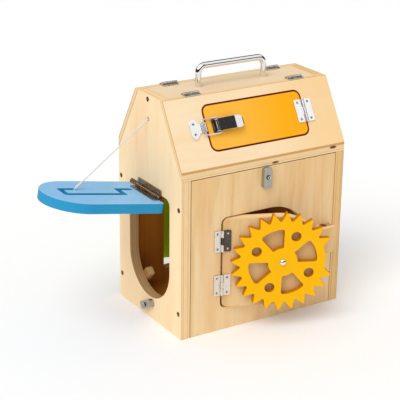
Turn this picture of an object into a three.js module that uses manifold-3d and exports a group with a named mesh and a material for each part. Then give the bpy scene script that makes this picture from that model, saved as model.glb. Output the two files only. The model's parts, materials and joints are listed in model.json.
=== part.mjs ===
import * as THREE from "three";
import { mergeVertices } from "three/addons/utils/BufferGeometryUtils.js";
import Module from "manifold-3d";

const wasm = await Module();
wasm.setup();

// Activity house: plywood gables and walls, two hinged roof flaps with a window in the front
// one, and three little doors, each closed in another way. Millimetres; the front faces -Y.

// House body
const houseWidth = 240;
const houseDepth = 157.2;
const houseHeight = 295.4;
const eaveHeight = 219.1;
const flatTopWidth = 67.2;
const wallThickness = 13;
const roofThickness = 6;
const roofGap = 0.4;

// Fits that the hardware and the doors share
const seatGap = 0.25;
const runningGap = 0.3;
const doorGap = 1.6;
const doorThickness = 12.6;
const cutOverrun = 1;
const weldDistance = 0.0001;

// Butt hinges
const hingePlate = 1.2;
const hingePinRadius = 1;
const knuckleRadius = 2;
const knuckleRise = 2.1;
const hingeCorner = 1.5;
const screwRadius = 2;
const screwDome = 0.5;
const narrowScrewRadius = 1.4;

// Hinges between the flat top and the roof flaps
const roofHingeLength = 21.5;
const roofHingeLeaf = 6.6;
const frontRoofHingeLeft = 76.3;
const frontRoofHingeRight = 75.5;
const backRoofHingeShift = 76;

// Carry handle
const handleRadius = 4;
const handleSpan = 96;
const handleRise = 26;
const handleBend = 9;
const handleShift = 2.5;

// Roof window, measured up the slope from the eave
const windowWidth = 145.1;
const windowHeight = 59.4;
const windowCentre = 0.55;
const windowSill = 17.3;
const windowCorner = 9.5;
const windowGap = 1.7;
const windowHingeLength = 29.5;
const windowHingeLeaf = 12.5;
const windowHingeShift = 1.5;

// Toggle latch of the window
const latchPlate = 1.2;
const strikeLength = 19.5;
const strikeWidth = 25.5;
const strikeNose = 5.5;
const strikeShoulder = 13;
const strikeNeck = 6.9;
const hookWidth = 11.8;
const hookHeight = 5;
const hookToWindow = 2.6;
const bailRadius = 0.9;
const bailRise = 3.4;
const bailReach = 23.5;
const bailWidth = 19.6;
const leverPivotInset = 12;
const leverPivotRise = 3.7;
const leverPinRadius = 0.8;
const leverWidth = 15.5;
const leverLength = 36;
const leverLip = 12;
const leverRise = 2;
const leverLipDrop = 1.5;
const leverLipEdge = 1.5;
const leverCheekLength = 11;
const leverCheekRadius = 1.9;
const leverHeel = 0.6;
const bailPivotOffset = 4.2;
const latchBaseLength = 27;
const latchBaseWidth = 18;
const latchBaseWideLength = 9;
const latchEarInset = 1.6;

// Front door and its opening, which lies on its side with one round end
const frontOpeningLength = 133;
const frontOpeningHeight = 121.2;
const frontOpeningBottom = 29.8;
const frontOpeningLeft = 63.3;
const frontOpeningCorner = 8;
const frontDoorAngle = 22;
const doorHingeLength = 28;
const doorHingeLeaf = 11;
const doorHingeTopInset = 29.5;
const doorHingeBottomInset = 32.7;

// Toothed wheel on the front door
const wheelTipRadius = 65;
const wheelRootRadius = 54.5;
const wheelThickness = 7.6;
const wheelStandoff = 1.6;
const wheelOffset = 75;
const wheelHeight = 91.7;
const wheelBoreRadius = 2.9;
const wheelHoleRadius = 6.25;
const wheelHoleOffset = 37;
const wheelWindowInner = 19;
const wheelWindowOuter = 43.5;
const wheelWindowCorner = 3;
const wheelArms = 4;
const wheelTeeth = 22;
const toothPitchAngle = 15;
const toothRootAngle = 6.4;
const toothTipAngle = 0.7;
const firstToothAngle = 26.5;
const wheelWindowAngle = 21;
const wheelPhaseAngle = 19.5;
const boltRadius = 2.5;
const boltHeadRadius = 4.25;
const boltHeadHeight = 2.6;
const boltCollarRadius = 6;
const boltNutRadius = 4.6;
const boltNutHeight = 3;

// Catch beside the front door
const catchLeft = 69.8;
const catchWidth = 32.4;
const catchHeight = 35;
const catchBottom = 78;
const catchLipThickness = 6;
const catchRunning = 1;
const catchOverhang = 10;
const catchCorner = 3;

// Side door and its opening, square above and round below
const sideOpeningWidth = 100;
const sideOpeningTop = 175;
const sideOpeningBottom = 29;
const sideOpeningCorner = 9;
const sideDoorWidth = 91;
const sideDoorTopGap = 1.1;
const sideDoorCorner = 4.5;
const sideDoorShift = 1;
const sideDoorAngle = 100.64;
const sideHingeLength = 58;
const sideHingeShift = 3;
const sideHingeLeaf = 9.6;
const sideHingeDrop = 2.1;
const sideKnuckleRadius = 2.3;
const sideKnuckleRise = 2.8;

// Slot in the side door, its turns measured down from the hinge and from the middle of the house
const slotWidth = 7;
const slotInnerEnd = 16.1;
const slotInnerCross = 34.1;
const slotOuterCross = 112.6;
const slotOuterEnd = 94.6;
const slotNearSide = 5.25;
const slotFarSide = 14.2;

// String with its sleeve and bead
const stringRadius = 0.8;
const stringHoleRadius = 2.3;
const stringHoleHeight = 264.2;
const stringHoleShift = 1.6;
const stringKnotRadius = 3.6;
const stringSlotShift = 11.8;
const stringBend = 3;
const sleeveRadius = 1.75;
const sleeveLength = 11;
const sleeveRise = 2.2;
const beadRadius = 5.5;

// Stop block behind the lower rim of the side opening
const stopLength = 12;
const stopDepth = 21;
const stopThickness = 8.5;
const stopReach = 11;
const stopCorner = 3;
const stopAngle = -47;

// Back door, square
const backOpeningLength = 121;
const backOpeningHeight = 122;
const backOpeningBottom = 28;
const backOpeningLeft = 60.5;
const backOpeningCorner = 4;
const backDoorAngle = 15;

// Turn buttons
const turnThickness = 6;
const turnWidth = 12;
const turnShortArm = 12.2;
const turnLongArm = 15;
const turnCorner = 4;
const turnTopGap = 0.5;
const turnStandoff = 0.4;
const sideTurnWidth = 10.5;
const sideTurnLength = 27.2;
const sideTurnCorner = 3;
const sideTurnHeight = 18.2;
const sideTurnShift = 0.4;
const sideTurnAngle = 28;
const backTurnShift = 67.5;
const pivotRadius = 1.6;
const pivotHeadRadius = 3;
const pivotHeadHeight = 1.2;
const pivotDepth = 9;

// Recessed screws that join the gables to the walls and to the top
const recessRadius = 3.3;
const recessDepth = 2.4;
const recessHeadRadius = 2.7;
const recessHeadHeight = 1.3;
const recessLow = 33;
const recessHigh = 170;
const recessTopShift = 2.5;

// Steps of the round forms
const arcSteps = 12;
const cornerSteps = 4;
const smallSides = 14;
const screwSides = 10;
const tubeSides = 12;

// Sizes worked out from those above
const halfWidth = houseWidth / 2;
const halfDepth = houseDepth / 2;
const slopeRise = houseHeight - eaveHeight;
const slopeRun = halfDepth - flatTopWidth / 2;
const slopeAngle = Math.atan2(slopeRise, slopeRun);
const bandFoot = eaveHeight - roofThickness / Math.cos(slopeAngle);
const wallTop = bandFoot - roofGap / Math.cos(slopeAngle);
const flapEdge = flatTopWidth / 2 - roofThickness / Math.sin(slopeAngle);
const topEdge = flapEdge - roofGap / Math.sin(slopeAngle);
const innerWidth = houseWidth - 2 * wallThickness;
const roofHingeAxis = (flapEdge + topEdge) / 2;
const sideHingeAxis = sideOpeningTop - sideHingeDrop;
const frontHingeAxis = -frontOpeningLeft + doorGap / 2;
const backHingeAxis = -backOpeningLeft + doorGap / 2;
const turnHeight = bandFoot - turnTopGap - turnShortArm;
const degree = Math.PI / 180;

// Materials
const plywood = new THREE.MeshStandardMaterial({ color: 0xe3c294, roughness: 0.62, metalness: 0 });
const blue = new THREE.MeshStandardMaterial({ color: 0x2f8fd0, roughness: 0.5, metalness: 0 });
const yellow = new THREE.MeshStandardMaterial({ color: 0xf5b81c, roughness: 0.5, metalness: 0 });
const green = new THREE.MeshStandardMaterial({ color: 0x7fb52a, roughness: 0.5, metalness: 0 });
const orange = new THREE.MeshStandardMaterial({ color: 0xf09a1c, roughness: 0.4, metalness: 0 });
const nickel = new THREE.MeshStandardMaterial({ color: 0xc4c4c0, roughness: 0.3, metalness: 1 });
const bronze = new THREE.MeshStandardMaterial({ color: 0x5d5852, roughness: 0.4, metalness: 1 });
const chrome = new THREE.MeshStandardMaterial({ color: 0xd8d8d8, roughness: 0.12, metalness: 1 });
const grey = new THREE.MeshStandardMaterial({ color: 0x9c9c98, roughness: 0.4, metalness: 1 });
const cotton = new THREE.MeshStandardMaterial({ color: 0xf2f0ea, roughness: 0.9, metalness: 0 });

const xAxis = new THREE.Vector3(1, 0, 0);
const yAxis = new THREE.Vector3(0, 1, 0);
const zAxis = new THREE.Vector3(0, 0, 1);
const towardX = new THREE.Matrix4().makeBasis(yAxis, zAxis, xAxis);
const towardFront = new THREE.Matrix4().makeBasis(xAxis, zAxis, yAxis.clone().negate());
const flat = new THREE.Matrix4();

// A closed geometry as a solid, laid along a basis and moved to a place.
function toSolid(geometry, basis = flat, x = 0, y = 0, z = 0) {
  const bare = geometry.clone();
  bare.deleteAttribute("normal");
  bare.deleteAttribute("uv");
  bare.applyMatrix4(basis);
  bare.translate(x, y, z);
  const merged = mergeVertices(bare, weldDistance);
  const corners = [];
  for (let i = 0; i < merged.index.count; i += 3) {
    const [a, b, c] = merged.index.array.slice(i, i + 3);
    if (a !== b && b !== c && c !== a) corners.push(a, b, c);
  }
  return new wasm.Manifold(
    new wasm.Mesh({
      numProp: 3,
      vertProperties: merged.attributes.position.array,
      triVerts: new Uint32Array(corners),
    })
  );
}

function toGeometry(solid) {
  const mesh = solid.getMesh();
  const geometry = new THREE.BufferGeometry();
  geometry.setAttribute("position", new THREE.BufferAttribute(mesh.vertProperties, 3));
  geometry.setIndex(new THREE.BufferAttribute(mesh.triVerts, 1));
  const flatShaded = geometry.toNonIndexed();
  flatShaded.computeVertexNormals();
  return flatShaded;
}

function addPiece(group, name, solid, material) {
  const mesh = new THREE.Mesh(toGeometry(solid), material);
  mesh.name = name;
  group.add(mesh);
  return mesh;
}

function addGroup(parent, x = 0, y = 0, z = 0) {
  const group = new THREE.Group();
  group.position.set(x, y, z);
  parent.add(group);
  return group;
}

// An outline whose corners are rounded by the third number of each point.
function rounded(points, steps = cornerSteps) {
  const path = [];
  points.forEach(([x, y, radius = 0], i) => {
    if (radius === 0) {
      path.push(new THREE.Vector2(x, y));
      return;
    }
    const corner = new THREE.Vector2(x, y);
    const before = new THREE.Vector2(...points.at(i - 1).slice(0, 2)).sub(corner).normalize();
    const after = new THREE.Vector2(...points[(i + 1) % points.length].slice(0, 2));
    after.sub(corner).normalize();
    const half = Math.acos(before.dot(after)) / 2;
    const centre = before.clone().add(after).normalize();
    centre.multiplyScalar(radius / Math.sin(half)).add(corner);
    const start = before.multiplyScalar(radius / Math.tan(half)).add(corner).sub(centre);
    const end = after.multiplyScalar(radius / Math.tan(half)).add(corner).sub(centre);
    const turn = Math.atan2(start.cross(end), start.dot(end));
    for (let k = 0; k <= steps; k += 1) {
      const arm = start.clone().rotateAround(new THREE.Vector2(), (turn * k) / steps);
      path.push(arm.add(centre));
    }
  });
  const kept = path.filter((p, i) => p.distanceTo(path.at(i - 1)) > weldDistance);
  return new THREE.Shape(kept);
}

function rectangle(left, bottom, width, height, radius = 0, steps = cornerSteps) {
  return rounded([
    [left, bottom, radius],
    [left + width, bottom, radius],
    [left + width, bottom + height, radius],
    [left, bottom + height, radius],
  ], steps);
}

// A bar with round ends from one point to another.
function bar(x1, y1, x2, y2, radius) {
  const along = Math.atan2(y2 - y1, x2 - x1);
  const path = [];
  for (let k = 0; k <= arcSteps; k += 1) {
    const angle = along - Math.PI / 2 + (Math.PI * k) / arcSteps;
    path.push(new THREE.Vector2(x2 + radius * Math.cos(angle), y2 + radius * Math.sin(angle)));
  }
  for (let k = 0; k <= arcSteps; k += 1) {
    const angle = along + Math.PI / 2 + (Math.PI * k) / arcSteps;
    path.push(new THREE.Vector2(x1 + radius * Math.cos(angle), y1 + radius * Math.sin(angle)));
  }
  return new THREE.Shape(path);
}

function disc(x, y, radius, sides = smallSides) {
  const path = [];
  for (let k = 0; k < sides; k += 1) {
    const angle = (2 * Math.PI * k) / sides;
    path.push(new THREE.Vector2(x + radius * Math.cos(angle), y + radius * Math.sin(angle)));
  }
  return new THREE.Shape(path);
}

function extrude(shape, depth) {
  return new THREE.ExtrudeGeometry(shape, { depth, bevelEnabled: false, curveSegments: arcSteps });
}

// A slab of an outline seen along X, standing between two places on that axis.
function slabX(shape, from, to) {
  return toSolid(extrude(shape, to - from), towardX, from, 0, 0);
}

// A slab of an outline seen from the front, from its back face to its front face.
function slabY(shape, back, front) {
  return toSolid(extrude(shape, back - front), towardFront, 0, back, 0);
}

function slabZ(shape, from, to) {
  return toSolid(extrude(shape, to - from), flat, 0, 0, from);
}

function rodY(radius, from, to, x, z, sides = smallSides) {
  const geometry = new THREE.CylinderGeometry(radius, radius, to - from, sides);
  return toSolid(geometry, flat, x, (from + to) / 2, z);
}

const screwTopShare = 0.7;

function screwHead(radius, x, y, z) {
  const top = radius * screwTopShare;
  const geometry = new THREE.CylinderGeometry(top, radius, screwDome, screwSides);
  const upright = new THREE.Matrix4().makeRotationX(Math.PI / 2);
  return toSolid(geometry, upright, x, y, z + screwDome / 2);
}

function joined(solids) {
  return solids.reduce((sum, solid) => sum.add(solid));
}

// One leaf of a butt hinge. The pin lies on Y, the wood is a rise below it and the leaf
// reaches along X, to -X for the fixed leaf and to +X for the moving one.
function hingeLeaf(hinge, moving) {
  const side = moving ? 1 : -1;
  const reach = moving ? hinge.movingLeaf : hinge.fixedLeaf;
  const inner = hinge.radius + runningGap;
  const floor = seatGap - hinge.rise;
  const ceiling = floor + hingePlate;
  const pitch = hinge.length / hinge.knuckles;
  const half = hinge.length / 2;
  const plate = rounded([
    [side * inner, -side * half],
    [side * reach, -side * half, hingeCorner],
    [side * reach, side * half, hingeCorner],
    [side * inner, side * half],
  ]);
  const solids = [slabZ(plate, floor, ceiling)];
  for (let i = moving ? 1 : 0; i < hinge.knuckles; i += 2) {
    const from = -half + i * pitch + (i > 0 ? runningGap / 2 : 0);
    const to = -half + (i + 1) * pitch - (i < hinge.knuckles - 1 ? runningGap / 2 : 0);
    const tongue = rectangle(Math.min(0, side * (inner + cutOverrun)), from, inner + cutOverrun, to - from);
    solids.push(slabZ(tongue, floor, ceiling));
    solids.push(rodY(hinge.radius, from, to, 0, 0));
  }
  const middle = (side * (inner + reach)) / 2;
  const spread = (hinge.length - hinge.screwRadius * 4) / Math.max(1, hinge.screws - 1);
  for (let i = 0; i < hinge.screws; i += 1) {
    const place = (i - (hinge.screws - 1) / 2) * spread;
    solids.push(screwHead(hinge.screwRadius, middle, place, ceiling - seatGap));
  }
  if (!moving) {
    solids.push(rodY(hingePinRadius, -half, half, 0, 0));
    return joined(solids);
  }
  const bore = rodY(hingePinRadius + runningGap, -half - cutOverrun, half + cutOverrun, 0, 0);
  return joined(solids).subtract(bore);
}

const roofHinge = {
  length: roofHingeLength,
  fixedLeaf: roofHingeLeaf,
  movingLeaf: roofHingeLeaf,
  radius: knuckleRadius,
  rise: knuckleRise,
  knuckles: 3,
  screws: 2,
  screwRadius: narrowScrewRadius,
};

const windowHinge = {
  length: windowHingeLength,
  fixedLeaf: windowHingeLeaf,
  movingLeaf: windowHingeLeaf,
  radius: knuckleRadius,
  rise: knuckleRise,
  knuckles: 3,
  screws: 2,
  screwRadius,
};

const doorHinge = {
  ...windowHinge,
  length: doorHingeLength,
  fixedLeaf: doorHingeLeaf,
  movingLeaf: doorHingeLeaf,
};

const sideHinge = {
  length: sideHingeLength,
  fixedLeaf: sideHingeLeaf,
  movingLeaf: sideHingeLeaf,
  radius: sideKnuckleRadius,
  rise: sideKnuckleRise,
  knuckles: 5,
  screws: 3,
  screwRadius,
};

const house = new THREE.Group();

// Gables: the outline of the house, with assembly screws sunk into the outer face
function gableOutline() {
  return new THREE.Shape([
    new THREE.Vector2(-halfDepth, 0),
    new THREE.Vector2(halfDepth, 0),
    new THREE.Vector2(halfDepth, wallTop),
    new THREE.Vector2(topEdge, houseHeight),
    new THREE.Vector2(-topEdge, houseHeight),
    new THREE.Vector2(-halfDepth, wallTop),
  ]);
}

function recessedScrews(gable, side) {
  const wallMiddle = halfDepth - wallThickness / 2;
  const places = [
    [recessTopShift, houseHeight - wallThickness / 2],
    [wallMiddle, recessHigh],
    [-wallMiddle, recessHigh],
    [wallMiddle, recessLow],
    [-wallMiddle, recessLow],
  ];
  const floor = side * (halfWidth - recessDepth);
  const head = side * (halfWidth - recessDepth + recessHeadHeight);
  const sunk = side * (halfWidth - recessDepth - cutOverrun);
  const past = side * (halfWidth + cutOverrun);
  return places.reduce((solid, [y, z]) => {
    const hole = slabX(disc(y, z, recessRadius), Math.min(floor, past), Math.max(floor, past));
    const screw = slabX(disc(y, z, recessHeadRadius), Math.min(head, sunk), Math.max(head, sunk));
    return solid.subtract(hole).add(screw);
  }, gable);
}

const sideRound = sideOpeningWidth / 2;
const sideOpening = rounded([
  [-sideRound, sideOpeningBottom, sideRound],
  [sideRound, sideOpeningBottom, sideRound],
  [sideRound, sideOpeningTop, sideOpeningCorner],
  [-sideRound, sideOpeningTop, sideOpeningCorner],
], arcSteps);
const gableFrom = -halfWidth - cutOverrun;
const gableTo = wallThickness - halfWidth + cutOverrun;
const pilotRadius = pivotRadius + runningGap;
const leftGable = recessedScrews(slabX(gableOutline(), -halfWidth, wallThickness - halfWidth), -1)
  .subtract(slabX(sideOpening, gableFrom, gableTo))
  .subtract(slabX(disc(stringHoleShift, stringHoleHeight, stringHoleRadius), gableFrom, gableTo))
  .subtract(slabX(disc(sideTurnShift, sideTurnHeight, pilotRadius), gableFrom, pivotDepth - halfWidth));
addPiece(house, "left_gable", leftGable, plywood);
const rightGable = recessedScrews(slabX(gableOutline(), halfWidth - wallThickness, halfWidth), 1);
addPiece(house, "right_gable", rightGable, plywood);

// Walls, floor and flat top between the gables
function wall(opening, pilots) {
  const outline = rectangle(-innerWidth / 2, 0, innerWidth, wallTop);
  const inner = wallThickness - halfDepth;
  let solid = slabY(outline, inner, -halfDepth);
  solid = solid.subtract(slabY(opening, inner + cutOverrun, -halfDepth - cutOverrun));
  for (const [x, z] of pilots) {
    const pilot = slabY(disc(x, z, pilotRadius), pivotDepth - halfDepth, -halfDepth - cutOverrun);
    solid = solid.subtract(pilot);
  }
  return solid;
}

// A door or its opening, lying on its side with a round right end
function lyingOutline(left, bottom, length, height, corner) {
  return rounded([
    [left, bottom, corner],
    [left + length, bottom, height / 2],
    [left + length, bottom + height, height / 2],
    [left, bottom + height, corner],
  ], arcSteps);
}

const frontOpening = lyingOutline(
  -frontOpeningLeft,
  frontOpeningBottom,
  frontOpeningLength,
  frontOpeningHeight,
  frontOpeningCorner
);
addPiece(house, "front_wall", wall(frontOpening, [[0, turnHeight]]), plywood);

const backSide = addGroup(house);
backSide.rotation.z = Math.PI;
const backOpening = rectangle(
  -backOpeningLeft,
  backOpeningBottom,
  backOpeningLength,
  backOpeningHeight,
  backOpeningCorner
);
const backTurnHeight = backOpeningBottom + backOpeningHeight / 2;
const backPilots = [[0, turnHeight], [backTurnShift, backTurnHeight]];
addPiece(backSide, "back_wall", wall(backOpening, backPilots), plywood);

const floorDepth = houseDepth - 2 * wallThickness;
const floorOutline = rectangle(-innerWidth / 2, -floorDepth / 2, innerWidth, floorDepth);
addPiece(house, "floor_panel", slabZ(floorOutline, 0, wallThickness), plywood);
const topOutline = rectangle(-innerWidth / 2, -topEdge, innerWidth, 2 * topEdge);
addPiece(house, "top_board", slabZ(topOutline, houseHeight - wallThickness, houseHeight), plywood);

// Carry handle: one bent rod that stands on the flat top
function tube(path, radius, steps, sides) {
  return toSolid(
    new THREE.ExtrudeGeometry(disc(0, 0, radius, sides), {
      extrudePath: path,
      steps,
      bevelEnabled: false,
    })
  );
}

function route(points, bend) {
  const path = new THREE.CurvePath();
  let from = points[0];
  for (let i = 1; i < points.length - 1; i += 1) {
    const back = points[i - 1].clone().sub(points[i]).setLength(bend).add(points[i]);
    const on = points[i + 1].clone().sub(points[i]).setLength(bend).add(points[i]);
    path.add(new THREE.LineCurve3(from, back));
    path.add(new THREE.QuadraticBezierCurve3(back, points[i], on));
    from = on;
  }
  path.add(new THREE.LineCurve3(from, points.at(-1)));
  return path;
}

const handleLeft = -handleShift - handleSpan / 2;
const handleRight = -handleShift + handleSpan / 2;
const handlePath = route([
  new THREE.Vector3(handleLeft, 0, houseHeight),
  new THREE.Vector3(handleLeft, 0, houseHeight + handleRise),
  new THREE.Vector3(handleRight, 0, houseHeight + handleRise),
  new THREE.Vector3(handleRight, 0, houseHeight),
], handleBend);
addPiece(house, "carry_handle", tube(handlePath, handleRadius, 40, tubeSides), chrome);

// Roof flaps: plumb cut at the eave, level cut at the top, lying on the gables
function roofFlap(side) {
  const profile = new THREE.Shape([
    new THREE.Vector2(side * halfDepth, eaveHeight),
    new THREE.Vector2((side * flatTopWidth) / 2, houseHeight),
    new THREE.Vector2(side * flapEdge, houseHeight),
    new THREE.Vector2(side * halfDepth, bandFoot),
  ]);
  return slabX(profile, -halfWidth, halfWidth);
}

function slopeMatrix() {
  return new THREE.Matrix4()
    .makeRotationX(slopeAngle)
    .setPosition(0, -halfDepth, eaveHeight);
}

const windowLeft = windowCentre - windowWidth / 2;
const windowRight = windowCentre + windowWidth / 2;
const windowCut = extrude(
  rectangle(windowLeft, windowSill, windowWidth, windowHeight, windowCorner),
  roofThickness + 2 * cutOverrun
).translate(0, 0, -roofThickness - cutOverrun);
const frontFlap = roofFlap(-1).subtract(toSolid(windowCut, slopeMatrix()));
const roofFront = addGroup(house);
addPiece(roofFront, "roof_front", frontFlap, plywood);
const roofBack = addGroup(house);
addPiece(roofBack, "roof_back", roofFlap(1), plywood);

function addRoofHinge(flap, name, x, side) {
  for (const moving of [false, true]) {
    const parent = moving ? flap : house;
    const seat = addGroup(parent, x, side * roofHingeAxis, houseHeight + knuckleRise);
    seat.rotation.z = (side * Math.PI) / 2;
    const part = moving ? "_flap_leaf" : "_top_leaf";
    addPiece(seat, name + part, hingeLeaf(roofHinge, moving), nickel);
  }
}

addRoofHinge(roofFront, "front_left_hinge", -frontRoofHingeLeft, -1);
addRoofHinge(roofFront, "front_right_hinge", frontRoofHingeRight, -1);
addRoofHinge(roofBack, "back_left_hinge", -backRoofHingeShift, 1);
addRoofHinge(roofBack, "back_right_hinge", backRoofHingeShift, 1);

// Window in the front roof flap. In this group X runs along the house and Y up the slope.
const slope = addGroup(roofFront, 0, -halfDepth, eaveHeight);
slope.rotation.x = slopeAngle;
const windowMiddle = windowSill + windowHeight / 2;
const paneLeft = windowLeft + windowGap;
const pane = rectangle(
  paneLeft,
  windowSill + windowGap,
  windowWidth - 2 * windowGap,
  windowHeight - 2 * windowGap,
  windowCorner - windowGap
);
addPiece(slope, "window_panel", slabZ(pane, -roofThickness, 0), orange);

const windowAxis = windowRight - windowGap / 2;
for (const moving of [false, true]) {
  const seat = addGroup(slope, windowAxis, windowMiddle + windowHingeShift, knuckleRise);
  seat.rotation.z = Math.PI;
  const name = moving ? "window_hinge_pane_leaf" : "window_hinge_roof_leaf";
  addPiece(seat, name, hingeLeaf(windowHinge, moving), nickel);
}

// Toggle latch: strike on the roof, base, lever and wire bail on the window
const latchMiddle = windowMiddle + windowHingeShift;
const hookFace = windowLeft - hookToWindow;
const strikeLeft = hookFace - strikeLength;
const strikePlate = rounded([
  [strikeLeft, latchMiddle - strikeWidth / 2, strikeNose],
  [hookFace - strikeShoulder, latchMiddle - strikeWidth / 2, hingeCorner],
  [hookFace - strikeNeck, latchMiddle - hookWidth / 2],
  [hookFace, latchMiddle - hookWidth / 2],
  [hookFace, latchMiddle + hookWidth / 2],
  [hookFace - strikeNeck, latchMiddle + hookWidth / 2],
  [hookFace - strikeShoulder, latchMiddle + strikeWidth / 2, hingeCorner],
  [strikeLeft, latchMiddle + strikeWidth / 2, strikeNose],
]);
const hookOutline = rectangle(hookFace - latchPlate, latchMiddle - hookWidth / 2, latchPlate, hookWidth);
const strikeScrew = strikeWidth / 4;
const strike = joined([
  slabZ(strikePlate, seatGap, seatGap + latchPlate),
  slabZ(hookOutline, seatGap, seatGap + latchPlate + hookHeight),
  screwHead(screwRadius, strikeLeft + strikeNose, latchMiddle - strikeScrew, latchPlate),
  screwHead(screwRadius, strikeLeft + strikeNose, latchMiddle + strikeScrew, latchPlate),
]);
addPiece(slope, "latch_strike", strike, nickel);

const leverPivot = paneLeft + leverPivotInset;
const baseLeft = leverPivot - latchBaseWideLength + bailPivotOffset;
const earInner = leverWidth / 2 - latchPlate - latchEarInset;
const baseOutline = rounded([
  [baseLeft, latchMiddle - latchBaseWidth / 2, hingeCorner],
  [baseLeft + latchBaseWideLength, latchMiddle - latchBaseWidth / 2, hingeCorner],
  [baseLeft + latchBaseWideLength, latchMiddle - earInner - latchPlate],
  [baseLeft + latchBaseLength, latchMiddle - earInner - latchPlate, hingeCorner],
  [baseLeft + latchBaseLength, latchMiddle + earInner + latchPlate, hingeCorner],
  [baseLeft + latchBaseWideLength, latchMiddle + earInner + latchPlate],
  [baseLeft + latchBaseWideLength, latchMiddle + latchBaseWidth / 2, hingeCorner],
  [baseLeft, latchMiddle + latchBaseWidth / 2, hingeCorner],
]);
const pinHole = rodY(
  leverPinRadius + runningGap,
  latchMiddle - leverWidth,
  latchMiddle + leverWidth,
  leverPivot,
  leverPivotRise,
  screwSides
);
const ears = [-1, 1].map((side) => {
  const near = latchMiddle + side * earInner;
  const far = latchMiddle + side * (earInner + latchPlate);
  const profile = rounded([
    [leverPivot - leverCheekRadius, seatGap],
    [leverPivot + leverCheekRadius, seatGap],
    [leverPivot + leverCheekRadius, leverPivotRise + leverCheekRadius, leverCheekRadius],
    [leverPivot - leverCheekRadius, leverPivotRise + leverCheekRadius, leverCheekRadius],
  ]);
  return slabY(profile, Math.max(near, far), Math.min(near, far));
});
const base = joined([slabZ(baseOutline, seatGap, seatGap + latchPlate), ...ears]).subtract(pinHole);
addPiece(slope, "latch_base", base, nickel);

// The lever is a bent plate with a cheek on each side, a pin through the cheeks and a lip
const leverTop = leverPivotRise + leverCheekRadius + runningGap + latchPlate;
const leverEnd = leverPivot + leverLength;
const lipStart = leverEnd - leverLip;
const bendTop = leverTop + leverRise;
const lipTop = bendTop - leverLipDrop;
const leverProfile = new THREE.Shape([
  new THREE.Vector2(leverPivot + leverHeel, leverTop - latchPlate),
  new THREE.Vector2(lipStart, bendTop - latchPlate),
  new THREE.Vector2(leverEnd - leverLipEdge, lipTop - latchPlate),
  new THREE.Vector2(leverEnd, lipTop - latchPlate / 2),
  new THREE.Vector2(leverEnd - leverLipEdge, lipTop),
  new THREE.Vector2(lipStart, bendTop),
  new THREE.Vector2(leverPivot + leverHeel, leverTop),
]);
const leverHalf = leverWidth / 2;
const leverPlan = rounded([
  [leverPivot, latchMiddle - leverHalf],
  [leverEnd + cutOverrun, latchMiddle - leverHalf, leverHalf],
  [leverEnd + cutOverrun, latchMiddle + leverHalf, leverHalf],
  [leverPivot, latchMiddle + leverHalf],
]);
const leverPlate = slabY(leverProfile, latchMiddle + leverHalf, latchMiddle - leverHalf)
  .intersect(slabZ(leverPlan, 0, bendTop + cutOverrun));
const bailPivot = leverPivot + bailPivotOffset;
const cheeks = [-1, 1].map((side) => {
  const near = latchMiddle + side * (leverHalf - latchPlate);
  const far = latchMiddle + side * leverHalf;
  const profile = rounded([
    [leverPivot - leverCheekRadius, leverPivotRise - leverCheekRadius, leverCheekRadius],
    [leverPivot + leverCheekLength, leverPivotRise - leverCheekRadius, leverCheekRadius],
    [leverPivot + leverCheekLength, leverTop],
    [leverPivot + leverHeel, leverTop],
    [leverPivot + leverHeel, leverPivotRise + leverCheekRadius],
    [leverPivot - leverCheekRadius, leverPivotRise + leverCheekRadius, leverCheekRadius],
  ]);
  return slabY(profile, Math.max(near, far), Math.min(near, far));
});
const bailHole = rodY(
  bailRadius + runningGap,
  latchMiddle - leverWidth,
  latchMiddle + leverWidth,
  bailPivot,
  bailRise,
  screwSides
);
const leverPin = rodY(
  leverPinRadius,
  latchMiddle - leverHalf,
  latchMiddle + leverHalf,
  leverPivot,
  leverPivotRise,
  screwSides
);
const lever = joined([leverPlate, ...cheeks]).subtract(bailHole).add(leverPin);
addPiece(slope, "latch_lever", lever, chrome);

const bailHalf = bailWidth / 2;
const bailEnd = leverHalf - latchPlate;
const bailPath = route([
  new THREE.Vector3(bailPivot, latchMiddle - bailEnd, bailRise),
  new THREE.Vector3(bailPivot, latchMiddle - bailHalf, bailRise),
  new THREE.Vector3(bailPivot - bailReach, latchMiddle - bailHalf, bailRise),
  new THREE.Vector3(bailPivot - bailReach, latchMiddle + bailHalf, bailRise),
  new THREE.Vector3(bailPivot, latchMiddle + bailHalf, bailRise),
  new THREE.Vector3(bailPivot, latchMiddle + bailEnd, bailRise),
], bailRadius * 2);
addPiece(slope, "latch_bail", tube(bailPath, bailRadius, 44, 6), chrome);

// Doors hung like the front one: the pin stands upright, the fixed leaf is on the left
function addDoor(parent, name, axis, outline, bores, opening, angle, material) {
  const door = addGroup(parent, axis, -halfDepth - knuckleRise, 0);
  door.rotation.z = -angle * degree;
  const back = knuckleRise + doorThickness;
  let panel = slabY(outline, back, knuckleRise);
  for (const bore of bores) {
    panel = panel.subtract(slabY(bore, back + cutOverrun, knuckleRise - cutOverrun));
  }
  addPiece(door, name, panel, material);
  const hinges = [
    ["upper", opening.top - doorHingeTopInset],
    ["lower", opening.bottom + doorHingeBottomInset],
  ];
  for (const [level, height] of hinges) {
    for (const moving of [false, true]) {
      const seat = moving
        ? addGroup(door, 0, 0, height)
        : addGroup(parent, axis, -halfDepth - knuckleRise, height);
      seat.rotation.x = Math.PI / 2;
      const part = moving ? "_door_leaf" : "_wall_leaf";
      addPiece(seat, name + "_" + level + part, hingeLeaf(doorHinge, moving), nickel);
    }
  }
  return door;
}

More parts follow.
